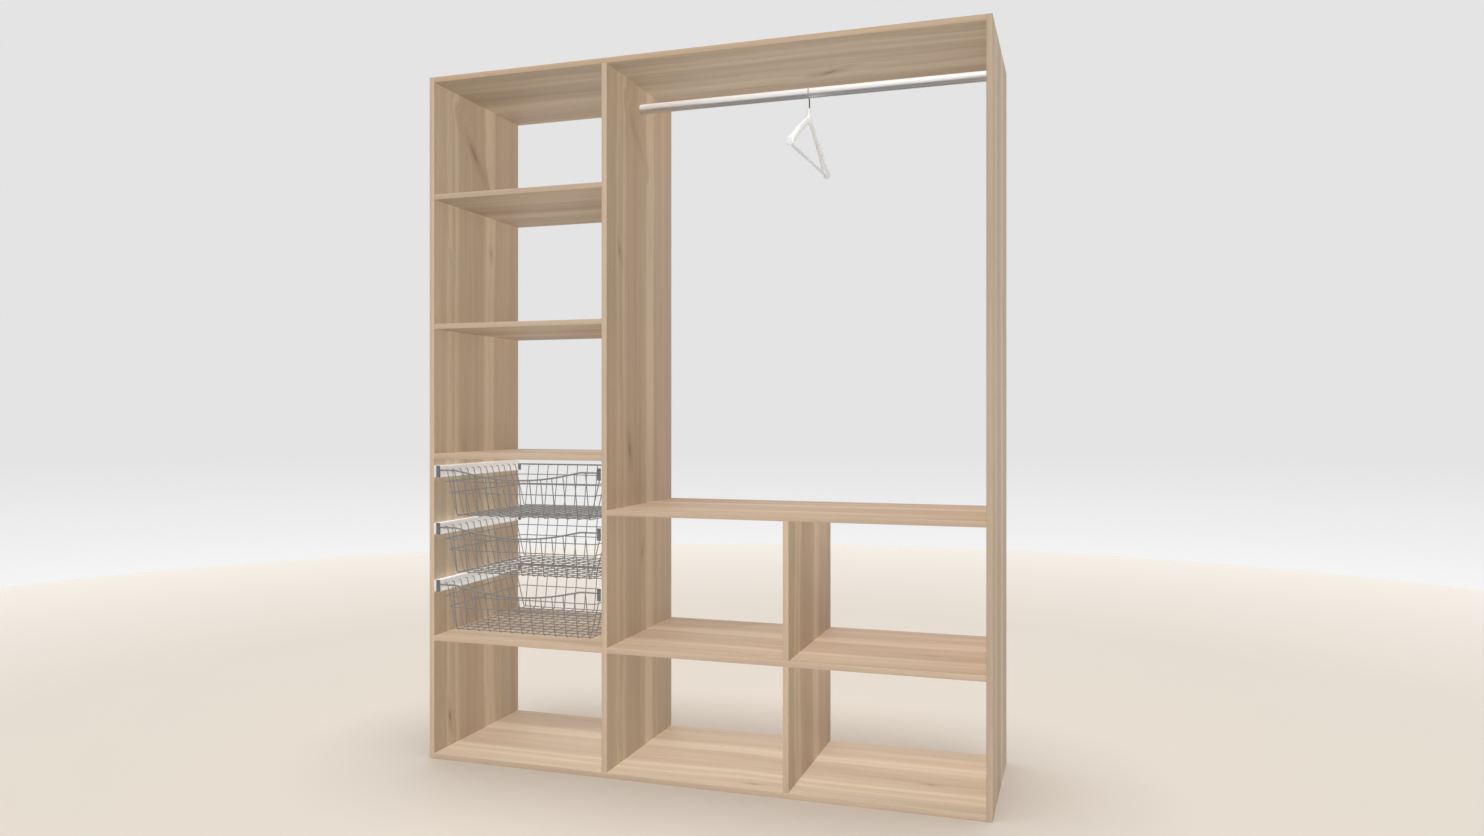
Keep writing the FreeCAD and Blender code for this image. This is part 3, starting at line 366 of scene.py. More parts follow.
def pick(piece, kind, keep):
    """In edit mode, selects only the faces or edges whose middle, and the element itself, pass a test."""
    bpy.ops.mesh.select_mode(type="FACE" if kind == "faces" else "EDGE")
    bpy.ops.mesh.select_all(action="DESELECT")
    mesh = bmesh.from_edit_mesh(piece.data)
    for element in getattr(mesh, kind):
        middle = sum((v.co for v in element.verts), Vector()) / len(element.verts)
        if keep(middle, element):
            element.select_set(True)
    mesh.select_flush_mode()
    bmesh.update_edit_mesh(piece.data)


def draw_on(run):
    """Extrudes what is selected by a run."""
    if Vector(run).length > NEAR:
        bpy.ops.mesh.extrude_region_move(TRANSFORM_OT_translate={"value": run})


def sink_field(piece, keep, rim, run):
    """Sinks a field into the faces that pass a test, inside a rim."""
    edit(piece)
    pick(piece, "faces", keep)
    bpy.ops.mesh.inset(thickness=rim)
    draw_on(run)
    deselect()


def finish(piece, kind, **values):
    """Adds a modifier and applies it."""
    choose(piece)
    modifier = piece.modifiers.new(kind.title(), kind)
    for name, value in values.items():
        setattr(modifier, name, value)
    bpy.ops.object.modifier_apply(modifier=modifier.name)


def combine(piece, other, operation):
    """Cuts another shape out of a piece or welds it on, and removes the other."""
    finish(piece, "BOOLEAN", operation=operation, object=other, solver="EXACT")
    bpy.data.objects.remove(other)


def soften(piece, radius, angle=40, segments=2):
    """Rounds the sharp edges of a piece."""
    limit = math.radians(angle)
    finish(piece, "BEVEL", width=radius, segments=segments, limit_method="ANGLE", angle_limit=limit)


def smooth(piece, angle=35):
    """Smooth shading over edges flatter than the angle."""
    choose(piece)
    bpy.ops.object.shade_smooth_by_angle(angle=math.radians(angle))


def join(name, pieces):
    """Makes one piece of several."""
    choose(*pieces)
    if len(pieces) > 1:
        bpy.ops.object.join()
    whole = bpy.context.object
    whole.name = whole.data.name = name
    return whole


def copy_of(piece, name, shift):
    """A copy with its own mesh, moved by a shift."""
    choose(piece)
    bpy.ops.object.duplicate(linked=False)
    bpy.ops.transform.translate(value=shift)
    return settle(name)


def bent_wire(name, stops, thickness, bends, sides=10, closed=False, step=15):
    """A round wire along the stops, spun round a bend at each stop between its ends.

    bends is one radius, or one for each bend, and step is about the angle in degrees between a bend's rings.
    A closed wire starts and ends at the same stop.
    """
    stops = [Vector(stop) for stop in stops]
    if not isinstance(bends, list):
        bends = [bends] * (len(stops) - 2)
    deselect()
    turn = (stops[1] - stops[0]).to_track_quat("Z", "Y").to_euler()
    bpy.ops.mesh.primitive_circle_add(
        vertices=sides, radius=thickness / 2, location=stops[0], rotation=turn
    )
    piece = settle(name)
    edit(piece)
    here = stops[0]
    for before, corner, after, radius in zip(stops, stops[1:], stops[2:], bends):
        into = (corner - before).normalized()
        away = (after - corner).normalized()
        angle = into.angle(away)
        reach = radius * math.tan(angle / 2)
        draw_on(corner - into * reach - here)
        axis = into.cross(away).normalized()
        centre = corner - into * reach + axis.cross(into) * radius
        steps = max(2, round(math.degrees(angle) / step))
        bpy.ops.mesh.spin(steps=steps, angle=-angle, center=centre, axis=axis)
        here = corner + away * reach
    draw_on(stops[-1] - here)
    bpy.ops.mesh.select_all(action="SELECT")
    if closed:
        bpy.ops.mesh.remove_doubles(threshold=NEAR)
    else:
        bpy.ops.mesh.fill_holes(sides=0)
    bpy.ops.mesh.normals_make_consistent(inside=False)
    deselect()
    if not closed:
        soften(piece, thickness / 5, angle=65)
    smooth(piece, 50)
    return piece


# Materials


def start_material(name):
    """A new material with its tree and shader."""
    material = bpy.data.materials.new(name)
    material.use_nodes = True
    tree = material.node_tree
    return material, tree, tree.nodes["Principled BSDF"]


def is_socket(value):
    """True if an input is fed by a node, False if it is a plain value."""
    return isinstance(value, bpy.types.NodeSocket)


def feed(made, inputs):
    """Gives inputs of a node their values, or the sockets that feed them."""
    for name, value in inputs.items():
        if is_socket(value):
            made.id_data.links.new(value, made.inputs[name])
        else:
            made.inputs[name].default_value = value


def node(kind, inputs, tree=None, **settings):
    """A new node with its inputs and settings; a tree is given where no socket feeds it."""
    tree = tree or next(value.id_data for value in inputs.values() if is_socket(value))
    made = tree.nodes.new(f"ShaderNode{kind}")
    for name, value in settings.items():
        setattr(made, name, value)
    feed(made, inputs)
    return made


def calculate(operation, first, second):
    """A sum, product or comparison of two values or sockets."""
    return node("Math", {0: first, 1: second}, operation=operation).outputs[0]


def total(*parts):
    """The sum of values, each given with its weight."""
    whole, *others = [calculate("MULTIPLY", value, weight) for value, weight in parts]
    for part in others:
        whole = calculate("ADD", whole, part)
    return whole


def map_range(value, low, high, to_low=0.0, to_high=1.0):
    """A value moved from one range to another, and held inside it."""
    sockets = {"Value": value, "From Min": low, "From Max": high, "To Min": to_low, "To Max": to_high}
    return node("MapRange", sockets).outputs[0]


def combine_vectors(operation, first, second=(0, 0, 0)):
    """The difference or product of two vectors."""
    return node("VectorMath", {0: first, 1: second}, operation=operation).outputs[0]


def size_of(vector):
    """The length of a vector."""
    return node("VectorMath", {0: vector}, operation="LENGTH").outputs["Value"]


def axis_of(vector, name):
    """One coordinate of a vector: X, Y or Z."""
    return node("SeparateXYZ", {0: vector}).outputs[name]


def vector_of(x, y, z):
    """A vector from its coordinates."""
    return node("CombineXYZ", {0: x, 1: y, 2: z}).outputs[0]


def object_place(tree):
    """Object coordinates."""
    return node("TexCoord", {}, tree).outputs["Object"]


def grain_place(tree, grain):
    """Object coordinates in the order of the board's depth, across the boards, and along the grain."""
    place = object_place(tree)
    across = {"X": "Z", "Z": "X"}[grain]
    return vector_of(*(axis_of(place, name) for name in ("Y", across, grain)))


def stretched_noise(vector, scale, detail=2.0, roughness=0.5):
    """Noise with its own scale along each axis."""
    place = node("Mapping", {"Vector": vector, "Scale": scale})
    sockets = {"Vector": place.outputs[0], "Scale": 1.0, "Detail": detail, "Roughness": roughness}
    return node("TexNoise", sockets).outputs["Fac"]


def ramp(factor, stops, interpolation="EASE"):
    """A ramp through stops of place and colour, or place and brightness."""
    made = node("ValToRGB", {"Fac": factor})
    made.color_ramp.interpolation = interpolation
    points = made.color_ramp.elements
    while len(points) < len(stops):
        points.new(0.5)
    for point, (place, shade) in zip(points, stops):
        point.position = place
        point.color = (*shade, 1) if isinstance(shade, tuple) else (shade, shade, shade, 1)
    return made.outputs["Color"]


def shaded(tint, share):
    """A colour made darker or lighter by a share."""
    return tuple(min(1.0, share * part) for part in tint)


def blend(factor, first, second):
    """Two colours mixed by a factor, each a colour or a socket."""
    made = node("Mix", {0: factor}, data_type="RGBA")
    for socket, tint in ((6, first), (7, second)):
        feed(made, {socket: tint if is_socket(tint) else (*tint, 1)})
    return made.outputs[2]


def bump(height, strength, distance):
    """A normal raised and lowered by a height."""
    sockets = {"Height": height, "Strength": strength, "Distance": distance}
    return node("Bump", sockets).outputs["Normal"]


def knots(place, spots):
    """The depth with the grain bowed round each knot, and the distance to the nearest in its own radii."""
    depth = axis_of(place, "X")
    bowed, nearest = depth, None
    for across, board, along_grain, half_width, half_length, slant in spots:
        offset = combine_vectors("SUBTRACT", place, (across, board, along_grain))
        sockets = {"Vector": offset, "Angle": slant}
        slanted = node("VectorRotate", sockets, rotation_type="Y_AXIS").outputs[0]
        scaled = combine_vectors("MULTIPLY", slanted, (1 / half_width, 4.0, 1 / half_length))
        away = size_of(scaled)
        pull = map_range(away, 0.0, 6.0, 0.75, 0.0)
        gap = calculate("SUBTRACT", across, depth)
        bowed = total((bowed, 1.0), (gap, pull))
        nearest = away if nearest is None else calculate("MINIMUM", nearest, away)
    return bowed, nearest


def toned(wood, place, tones):
    """A wood colour that differs by a coordinate; the ramp holds half of each share, to stay below one."""
    first, last = tones[0][0], tones[-1][0]
    steps = [((spot - first) / (last - first), shaded(shares, 0.5)) for spot, shares in tones]
    halves = ramp(map_range(place, first, last), steps, "LINEAR")
    shares = combine_vectors("MULTIPLY", halves, (2, 2, 2))
    return combine_vectors("MULTIPLY", wood, shares)


def facing(grain, look):
    """Wood-look facing: planks side by side across the depth, streaks, fibres, pores and a few knots."""
    material, tree, shader = start_material(f"facing_{grain}")
    plank_share, band_share, gloss = FACING[grain]
    place = grain_place(tree, grain)
    depth, nearest = knots(place, KNOTS[grain])
    board, run = axis_of(place, "Y"), axis_of(place, "Z")
    place = vector_of(depth, board, run)
    drift = map_range(stretched_noise(place, (1.5, 3.0, 1.3)), 0, 1, -0.022, 0.022)
    waver = map_range(stretched_noise(place, (6, 4, 3.5)), 0.2, 0.8, -0.007, 0.007)
    drifted = total((depth, 1.0), (drift, 1.0), (waver, 1.0))
    front, rear = (corner.y for corner in CAD_BOX)
    across = map_range(drifted, front, rear)
    flow = vector_of(drifted, board, run)
    bands = stretched_noise(flow, (20, 5, 0.9), detail=3, roughness=0.55)
    streaks = stretched_noise(place, (110, 14, 1.5), detail=4, roughness=0.6)
    fibres = stretched_noise(place, (560, 240, 8))
    pores = stretched_noise(place, (1500, 600, 34), detail=1)
    core = map_range(nearest, 0.3, 1.1, 0.55, 0.0)
    halo = map_range(nearest, 0.7, 4.0, 1.0, 0.0)
    figure = [(ramp(across, PLANKS), plank_share), (bands, band_share), (streaks, 0.34)]
    tone = map_range(total(*figure, (fibres, 0.16), (halo, -0.16)), 0.38, 0.88)
    rosy = map_range(bands, 0.35, 0.65, 0.0, 0.35)
    hue = total((ramp(across, REDNESS), 0.75), (rosy, 1.0), (halo, 0.5))
    warm = blend(tone, look.warm_dark, look.warm)
    wood = blend(map_range(hue, 0, 1), blend(tone, look.dark, look.light), warm)
    pore_mask = map_range(pores, 0.62, 0.72, 0.0, 0.28)
    wood = blend(pore_mask, wood, shaded(look.dark, 0.66))
    wood = blend(core, wood, shaded(look.warm_dark, 0.50))
    # Painted light and shade by board
    wood = toned(wood, board, BOARD_PAINTED_LIGHT[grain])
    # The partition also gets painted light in its dim lower cells and painted shade in the open bay above
    if grain == "Z":
        middle = sum(corner.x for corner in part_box("partition_panel")) / 2
        away = calculate("ABSOLUTE", calculate("SUBTRACT", board, middle), 0)
        on_partition = map_range(away, 0.02, 0.04, 1, 0)
        wood = blend(on_partition, wood, toned(wood, run, PARTITION_PAINTED_LIGHT))
    sockets = {
        "Base Color": wood,
        "Roughness": map_range(fibres, 0.2, 0.8, 0.68, 0.52),
        "Specular IOR Level": gloss,
        "Normal": bump(total((fibres, 1.0), (pore_mask, -1.5)), 0.25, 0.0002),
    }
    feed(shader, sockets)
    return material


def banding(grain, look):
    """The edge band: pale and straight-grained."""
    material, tree, shader = start_material(f"band_{grain}")
    place = grain_place(tree, grain)
    wide = stretched_noise(place, (40, 55, 1.4), detail=3)
    fibres = stretched_noise(place, (500, 700, 9))
    tone = map_range(total((wide, 0.6), (fibres, 0.4)), 0.3, 0.7)
    wood = blend(tone, shaded(look.edge, 0.86), shaded(look.edge, 1.10))
    sockets = {
        "Base Color": toned(wood, axis_of(place, "Y"), BAND_TONES[grain]),
        "Roughness": map_range(fibres, 0.2, 0.8, 0.60, 0.46),
        "Specular IOR Level": 0.3,
        "Normal": bump(fibres, 0.2, 0.0002),
    }
    feed(shader, sockets)
    return material


def moulded(name, tint, low_gloss, high_gloss, speckle=900.0, spread=0.06, metal=0.0, relief=0.12):
    """An even moulded or coated surface with a fine texture, slight clouding and uneven gloss."""
    material, tree, shader = start_material(name)
    place = object_place(tree)
    grain = stretched_noise(place, (speckle, speckle, speckle))
    clouds = stretched_noise(place, (14, 14, 14), detail=3)
    tone = total((clouds, 0.7), (grain, 0.3))
    sockets = {
        "Base Color": blend(map_range(tone, 0.3, 0.7), shaded(tint, 1 - spread), shaded(tint, 1 + spread)),
        "Roughness": map_range(tone, 0.3, 0.7, low_gloss, high_gloss),
        "Metallic": metal,
        "Normal": bump(grain, relief, 0.0001),
    }
    feed(shader, sockets)
    return material


def second_tint(material, share, tint):
    """Blends another tint into a material's colour by a factor."""
    shader = material.node_tree.nodes["Principled BSDF"]
    first = shader.inputs["Base Color"].links[0].from_socket
    feed(shader, {"Base Color": blend(share, first, tint)})


def rubbed(material, tint, low, high):
    """A paler tint above a height, blended in between the low and the high one."""
    height = axis_of(object_place(material.node_tree), "Z")
    second_tint(material, map_range(height, low, high), tint)


def dulled(material, tint, piece):
    """Painted shade: a darker tint on the faces of a piece that look down, by an attribute of its points."""
    downward = piece.data.attributes.new("downward", "FLOAT", "POINT")
    for vertex, entry in zip(piece.data.vertices, downward.data):
        entry.value = max(0.0, -vertex.normal.z)
    share = node("Attribute", {}, material.node_tree, attribute_name="downward").outputs["Fac"]
    second_tint(material, map_range(share, 0.1, 0.7), tint)


def plated(name, tint, shade_tint, seam, low_gloss, high_gloss):
    """Polished metal drawn along X, with faint draw lines and slight waves; painted shade darkens it below a
    height, and a painted highlight makes it pale and less metallic above.
    """
    material, tree, shader = start_material(name)
    place = object_place(tree)
    lines = stretched_noise(place, (6, 900, 900))
    waves = stretched_noise(place, (9, 40, 40), detail=1)
    wander = map_range(waves, 0.3, 0.7, -0.0008, 0.0008)
    edge = calculate("ADD", axis_of(place, "Z"), wander)
    blur = 0.0025
    # Painted shade below this edge, painted highlight above it
    upper = map_range(edge, seam - blur, seam + blur)
    above = blend(map_range(waves, 0.3, 0.7), shaded(tint, 0.94), tint)
    sockets = {
        "Base Color": blend(upper, shade_tint, above),
        "Roughness": map_range(lines, 0.3, 0.7, low_gloss, high_gloss),
        "Metallic": map_range(upper, 0, 1, 0.8, 0.3),
        "Normal": bump(total((lines, 0.15), (waves, 1.0)), 0.12, 0.0008),
    }
    feed(shader, sockets)
    return material


def paint(thing, *materials):
    """Gives a piece or a node its materials, in place of any that it has."""
    while len(thing.material_slots) < len(materials):
        thing.data.materials.append(None)
    for slot, material in zip(thing.material_slots, materials):
        slot.material = material


# Handing over


def hand_over(piece, body, slot, *nodes):
    """Ties a finished piece to its body, in place of its nodes."""
    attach(piece, body)
    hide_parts(*nodes)


def hand_out(first, part, slot, body=None):
    """Copies a piece of the first basket for the others, each riding on its basket or on one body."""
    ending = first.name.removeprefix("basket_1_")
    first_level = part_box("basket_1_glides")[0].z
    for number in BASKETS:
        shift = (0, 0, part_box(f"basket_{number}_glides")[0].z - first_level)
        piece = first if number == 1 else copy_of(first, f"basket_{number}_{ending}", shift)
        hand_over(piece, body or f"basket_{number}", slot, f"basket_{number}_{part}")


# Pieces


class ClosetBoards(bpy.types.Operator):
    """Build the faced boards with their edge bands"""

    bl_idname = "closet.boards"
    bl_label = "Boards"

    def execute(self, context):
        look = context.scene.closet_boards
        for grain, names in BOARDS.items():
            finishes = facing(grain, look), banding(grain, look)
            for name in names:
                self.board(name, finishes, look)
        tongue = moulded("tongue_wood", look.tongue, 0.6, 0.75, speckle=400, spread=0.12)
        paint(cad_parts["joint_tongues"], tongue)
        return {"FINISHED"}

    def board(self, name, finishes, look):
        """One board: its edge bands are split off and their long edges rounded."""
        low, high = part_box(name)
        piece = block(f"{name}_faced", *zip(low, high))
        splits = [(1, low.y + look.band), (1, high.y - look.band)]
        if name in TOPPED:
            splits.append((2, high.z - look.band))
        edit(piece)
        for axis, level in splits:
            bpy.ops.mesh.select_all(action="SELECT")
            normal = Vector([index == axis for index in range(3)])
            bpy.ops.mesh.bisect(plane_co=normal * level, plane_no=normal)

        def on_band(spot, depth):
            top = name in TOPPED and spot.z > high.z - depth
            return spot.y < low.y + depth or spot.y > high.y - depth or top

        def outer(middle, edge):
            # The middle of a band's face or edge lies at most half the band's thickness in
            spots = [middle, *(face.calc_center_median() for face in edge.link_faces)]
            half = look.band / 2 + NEAR
            return edge.calc_face_angle(0) > 1 and all(on_band(spot, half) for spot in spots)

        pick(piece, "edges", outer)
        bpy.ops.mesh.bevel(offset=look.round_over, segments=3, affect="EDGES")
        deselect()
        paint(piece, *finishes)
        for face in piece.data.polygons:
            face.material_index = int(on_band(face.center, look.band))
        smooth(piece)
        hand_over(piece, "carcass", "board", name)


class ClosetRail(bpy.types.Operator):
    """Build the hanging rail"""

    bl_idname = "closet.rail"
    bl_label = "Hanging rail"

    def execute(self, context):
        look = context.scene.closet_rail
        low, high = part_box("hanging_rail")
        radius = (high.z - low.z) / 2
        start, end = middle_line("hanging_rail", 0)
        tube = rod("hanging_rail_tube", start, end, radius, look.sides)
        past = Vector((PAST, 0, 0))
        bore = rod("rail_bore", start - past, end + past, radius - look.wall, look.sides)
        combine(tube, bore, "DIFFERENCE")
        soften(tube, look.wall / 6, angle=60)
        smooth(tube)
        # The painted shade on the rail's lower side begins this far below its axis
        seam = start.z - look.seam
        paint(tube, plated("rail_chrome", look.chrome, look.chrome_under, seam, 0.33, 0.41))
        hand_over(tube, "carcass", "rail", "hanging_rail")
        paint(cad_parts["rail_plugs"], moulded("plug_plastic", look.plug, 0.45, 0.6))
        return {"FINISHED"}


class ClosetSlides(bpy.types.Operator):
    """Build the runners on the boards and the glides, caps and stops on the baskets"""

    bl_idname = "closet.slides"
    bl_label = "Runners, glides, caps and stops"

    def execute(self, context):
        look = context.scene.closet_slides
        white = moulded("white_finish", look.white, 0.28, 0.40, speckle=700, spread=0.02)
        grey = moulded("grey_plastic", look.grey, 0.42, 0.58, speckle=900, spread=0.08)
        makers = {
            "runners": (self.runner, "runner", [white]),
            "glides": (self.glide, "runner", [white]),
            "front_caps": (self.cap, "cap", [grey, white]),
            "rear_stops": (self.stop, "cap", [grey]),
        }
        for part, (maker, slot, materials) in makers.items():
            low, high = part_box(f"basket_1_{part}")
            pair = join(f"basket_1_{part}_pair", [maker(side, low, high, look) for side in (-1, 1)])
            smooth(pair, 30)
            paint(pair, *materials)
            if part == "front_caps":
                rear = low.y + look.cap_set + look.cap_plate
                for face in pair.data.polygons:
                    face.material_index = int(face.center.y > rear + NEAR)
            hand_out(pair, part, slot, "carcass" if part == "runners" else None)
        return {"FINISHED"}

    def runner(self, side, low, high, look):
        """A grooved strip whose web goes on to the board's front edge; its keys in the board stay hidden."""
        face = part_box("left_side_panel")[1].x if side < 0 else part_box("partition_panel")[0].x
        lip = face - side * look.runner
        front = low.y - look.flange
        strip = block(f"runner_{side}", (face, lip), (front, high.y), (low.z, high.z))
        open_side = (face - side * look.web, lip - side * PAST)
        between_lips = (low.z + look.web, high.z - look.web)
        groove = block("groove", open_side, (low.y - OVERLAP, high.y + PAST), between_lips)
        combine(strip, groove, "DIFFERENCE")
        over_all = (low.z - PAST, high.z + PAST)
        before_lips = block("before_lips", open_side, (front - PAST, low.y), over_all)
        combine(strip, before_lips, "DIFFERENCE")
        soften(strip, look.edge)
        return strip

    def glide(self, side, low, high, look):
        """A plate with a tongue in the runner's groove and a long shallow field on its inner face."""
        tip = low.x if side < 0 else high.x
        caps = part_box("basket_1_front_caps")
        outer = caps[0].x if side < 0 else caps[1].x
        inner = outer - side * look.plate
        plate = block(f"glide_{side}", (outer, inner), (low.y, high.y), (low.z, high.z))
        slack = look.web + look.play
        root = outer - side * look.plate / 3
        tongue = block("tongue", (tip, root), (low.y, high.y), (low.z + slack, high.z - slack))
        combine(plate, tongue, "UNION")
        run = (side * look.plate_field, 0, 0)
        sink_field(plate, lambda middle, face: abs(middle.x - inner) < NEAR, look.plate_rim, run)
        soften(plate, look.edge / 2)
        return plate

    def cap(self, side, low, high, look):
        """A grey plate with rounded corners and a shallow field, on a white holder for the rim's end."""
        outer = low.x if side < 0 else high.x
        inner = outer - side * look.cap
        front = low.y + look.cap_set
        rear = front + look.cap_plate
        lip = outer + side * look.cap_lip
        cap = block(f"cap_{side}", (lip, inner), (front, rear), (low.z, high.z))

        def front_corner(middle, edge):
            run = edge.verts[1].co - edge.verts[0].co
            return abs(run.z) > 0.99 * run.length and middle.y < front + NEAR

        def on_front(middle, face):
            return abs(middle.y - front) < NEAR and face.normal.y < -0.99

        edit(cap)
        pick(cap, "edges", front_corner)
        bpy.ops.mesh.bevel(offset=look.cap_corner, segments=4, affect="EDGES")
        sink_field(cap, on_front, look.cap_rim, (0, look.cap_field, 0))
        # The holder stays this much inside the plate's outline
        inset = 0.0002
        sides = (outer, inner + side * inset)
        holder = block("holder", sides, (rear - OVERLAP, high.y), (low.z + inset, high.z - inset))
        combine(cap, holder, "UNION")
        soften(cap, look.edge / 2)
        return cap

    def stop(self, side, low, high, look):
        """A small block on the glide's rear end, under the rear rim."""
        # Set in from the glide's face, and further forward than the solid
        inset, ahead, short = 0.0005, 0.006, 0.004
        outer = (low.x if side < 0 else high.x) - side * inset
        sides = (outer, outer - side * look.stop_width)
        top = (low.z + high.z) / 2
        stop = block(f"stop_{side}", sides, (low.y - ahead, high.y - short), (top - look.stop_height, top))
        soften(stop, look.edge * 2, segments=3)
        return stop


class ClosetBaskets(bpy.types.Operator):
    """Build the wire baskets"""

    bl_idname = "closet.baskets"
    bl_label = "Wire baskets"

    def execute(self, context):
        look = context.scene.closet_baskets
        coating = moulded("wire_coating", look.coating, 0.30, 0.46, speckle=1200, spread=0.10, metal=0.15)
        self.measure(look)
        for maker in (self.long_wires, self.cross_wires, self.rings, self.front_rim, self.rear_rim):
            part = maker.__name__
            group = join(f"basket_1_{part}_round", maker(look))
            paint(group, coating)
            hand_out(group, part, "wire")
        return {"FINISHED"}

    def measure(self, look):
        """Middle lines of the walls at the rim's level, from the boxes of the first basket's nodes."""
        half = look.wire / 2
        long_low, long_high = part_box("basket_1_long_wires")
        cross_low, cross_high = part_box("basket_1_cross_wires")
        self.middle = (cross_low.x + cross_high.x) / 2
        self.level = cross_high.z - half
        self.long_floor = long_low.z + half
        self.cross_floor = cross_low.z + half
        self.front_slope = look.front_lean / (self.level - self.long_floor)
        self.side_slope = look.side_lean / (self.level - self.cross_floor)
        skew = half * math.hypot(1, self.front_slope)
        self.front_leg = long_low.y + skew
        self.rear_leg = long_high.y - skew
        self.row_half = (long_high.x - long_low.x) / 2 - half
        self.side_leg = self.row_half + look.wire + look.side_lean
        self.end_half = (cross_high.x - cross_low.x) / 2 + look.hold
        self.cross_front = cross_low.y + half
        self.cross_rear = cross_high.y - half
        rim_low, rim_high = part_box("basket_1_front_rim")
        self.rim_half = (rim_high.x - rim_low.x) / 2
        self.dip_half = self.rim_half - look.rim_flat
        self.dip_corner = self.dip_half * look.rim_slope
        slant = math.atan(look.rim_slope)
        self.dip_radius = (self.dip_corner - look.dip) / (1 / math.cos(slant) - 1)
        self.arc_half = self.dip_radius * math.sin(slant)

    def dip_at(self, x, look):
        """Depth of the rim's dip at a distance from the middle: two slopes, and a wide arc between them."""
        offset = abs(x)
        if offset < self.arc_half:
            return look.dip - self.dip_radius + math.sqrt(self.dip_radius**2 - offset**2)
        return max(0.0, (self.dip_half - offset) * look.rim_slope)

    def long_wires(self, look):
        """Wires down the front, along the floor and up the rear."""
        wires = []
        flatten = math.cos(math.atan(self.front_slope))
        for index in range(look.long_count):
            offset = self.row_half * (2 * index / (look.long_count - 1) - 1)
            x = self.middle + offset
            fall = self.dip_at(offset, look) * flatten
            stops = [
                (x, self.front_leg + fall * self.front_slope, self.level - fall),
                (x, self.front_leg + look.front_lean, self.long_floor),
                (x, self.rear_leg - look.front_lean, self.long_floor),
                (x, self.rear_leg, self.level),
            ]
            wires.append(bent_wire(f"long_wire_{index}", stops, look.wire, look.bend))
        return wires

    def cross_wires(self, look):
        """Wires over the long ones, with their ends hooked out to the glides."""
        y = self.cross_front
        stops = []
        for side in (-1, 1):
            tip = self.middle + side * self.end_half
            hook = self.middle + side * self.side_leg
            foot = self.middle + side * (self.side_leg - look.side_lean)
            run = [(tip, y, self.level), (hook, y, self.level), (foot, y, self.cross_floor)]
            stops += run if side < 0 else run[::-1]
        bends = [look.hook_bend, look.bend, look.bend, look.hook_bend]
        wire = bent_wire("cross_wire", stops, look.wire, bends, step=22)
        pitch = (self.cross_rear - self.cross_front) / (look.cross_count - 1)
        row = {"use_relative_offset": False, "use_constant_offset": True}
        finish(wire, "ARRAY", count=look.cross_count, constant_offset_displace=(0, pitch, 0), **row)
        return [wire]

    def rings(self, look):
        """Level wires round the outside of the walls."""
        wires = []
        press = look.wire - look.weld
        for index, drop in enumerate(look.rings):
            reach = self.side_leg - drop * self.side_slope + press
            left, right = self.middle - reach, self.middle + reach
            front = self.front_leg + drop * self.front_slope - press
            rear = self.rear_leg - drop * self.front_slope + press
            z = self.level - drop
            start = (self.middle, rear, z)
            stops = [start, (left, rear, z), (left, front, z), (right, front, z), (right, rear, z), start]
            wires.append(bent_wire(f"ring_{index}", stops, look.wire, look.ring_bend, closed=True))
        return wires

    def front_rim(self, look):
        """The thick wire from cap to cap: two slopes meet in a wide arc, in the plane of the front legs."""
        low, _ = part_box("basket_1_front_rim")
        lean = math.atan(self.front_slope)
        top_y = low.y + look.rim / 2
        end = self.rim_half + look.rim_hold
        shape = [(-end, 0), (-self.dip_half, 0), (0, self.dip_corner), (self.dip_half, 0), (end, 0)]
        stops = [
            (self.middle + x, top_y + fall * math.sin(lean), self.level - fall * math.cos(lean))
            for x, fall in shape
        ]
        bends = [look.rim_bend, self.dip_radius, look.rim_bend]
        return [bent_wire("front_rim", stops, look.rim, bends, sides=16, step=1.5)]

    def rear_rim(self, look):
        """The straight thick wire at the rear."""
        stops = middle_line("basket_1_rear_rim", 0)
        for stop, side in zip(stops, (-1, 1)):
            stop.x = self.middle + side * self.end_half
        return [bent_wire("rear_rim", stops, look.rim, [], sides=16)]


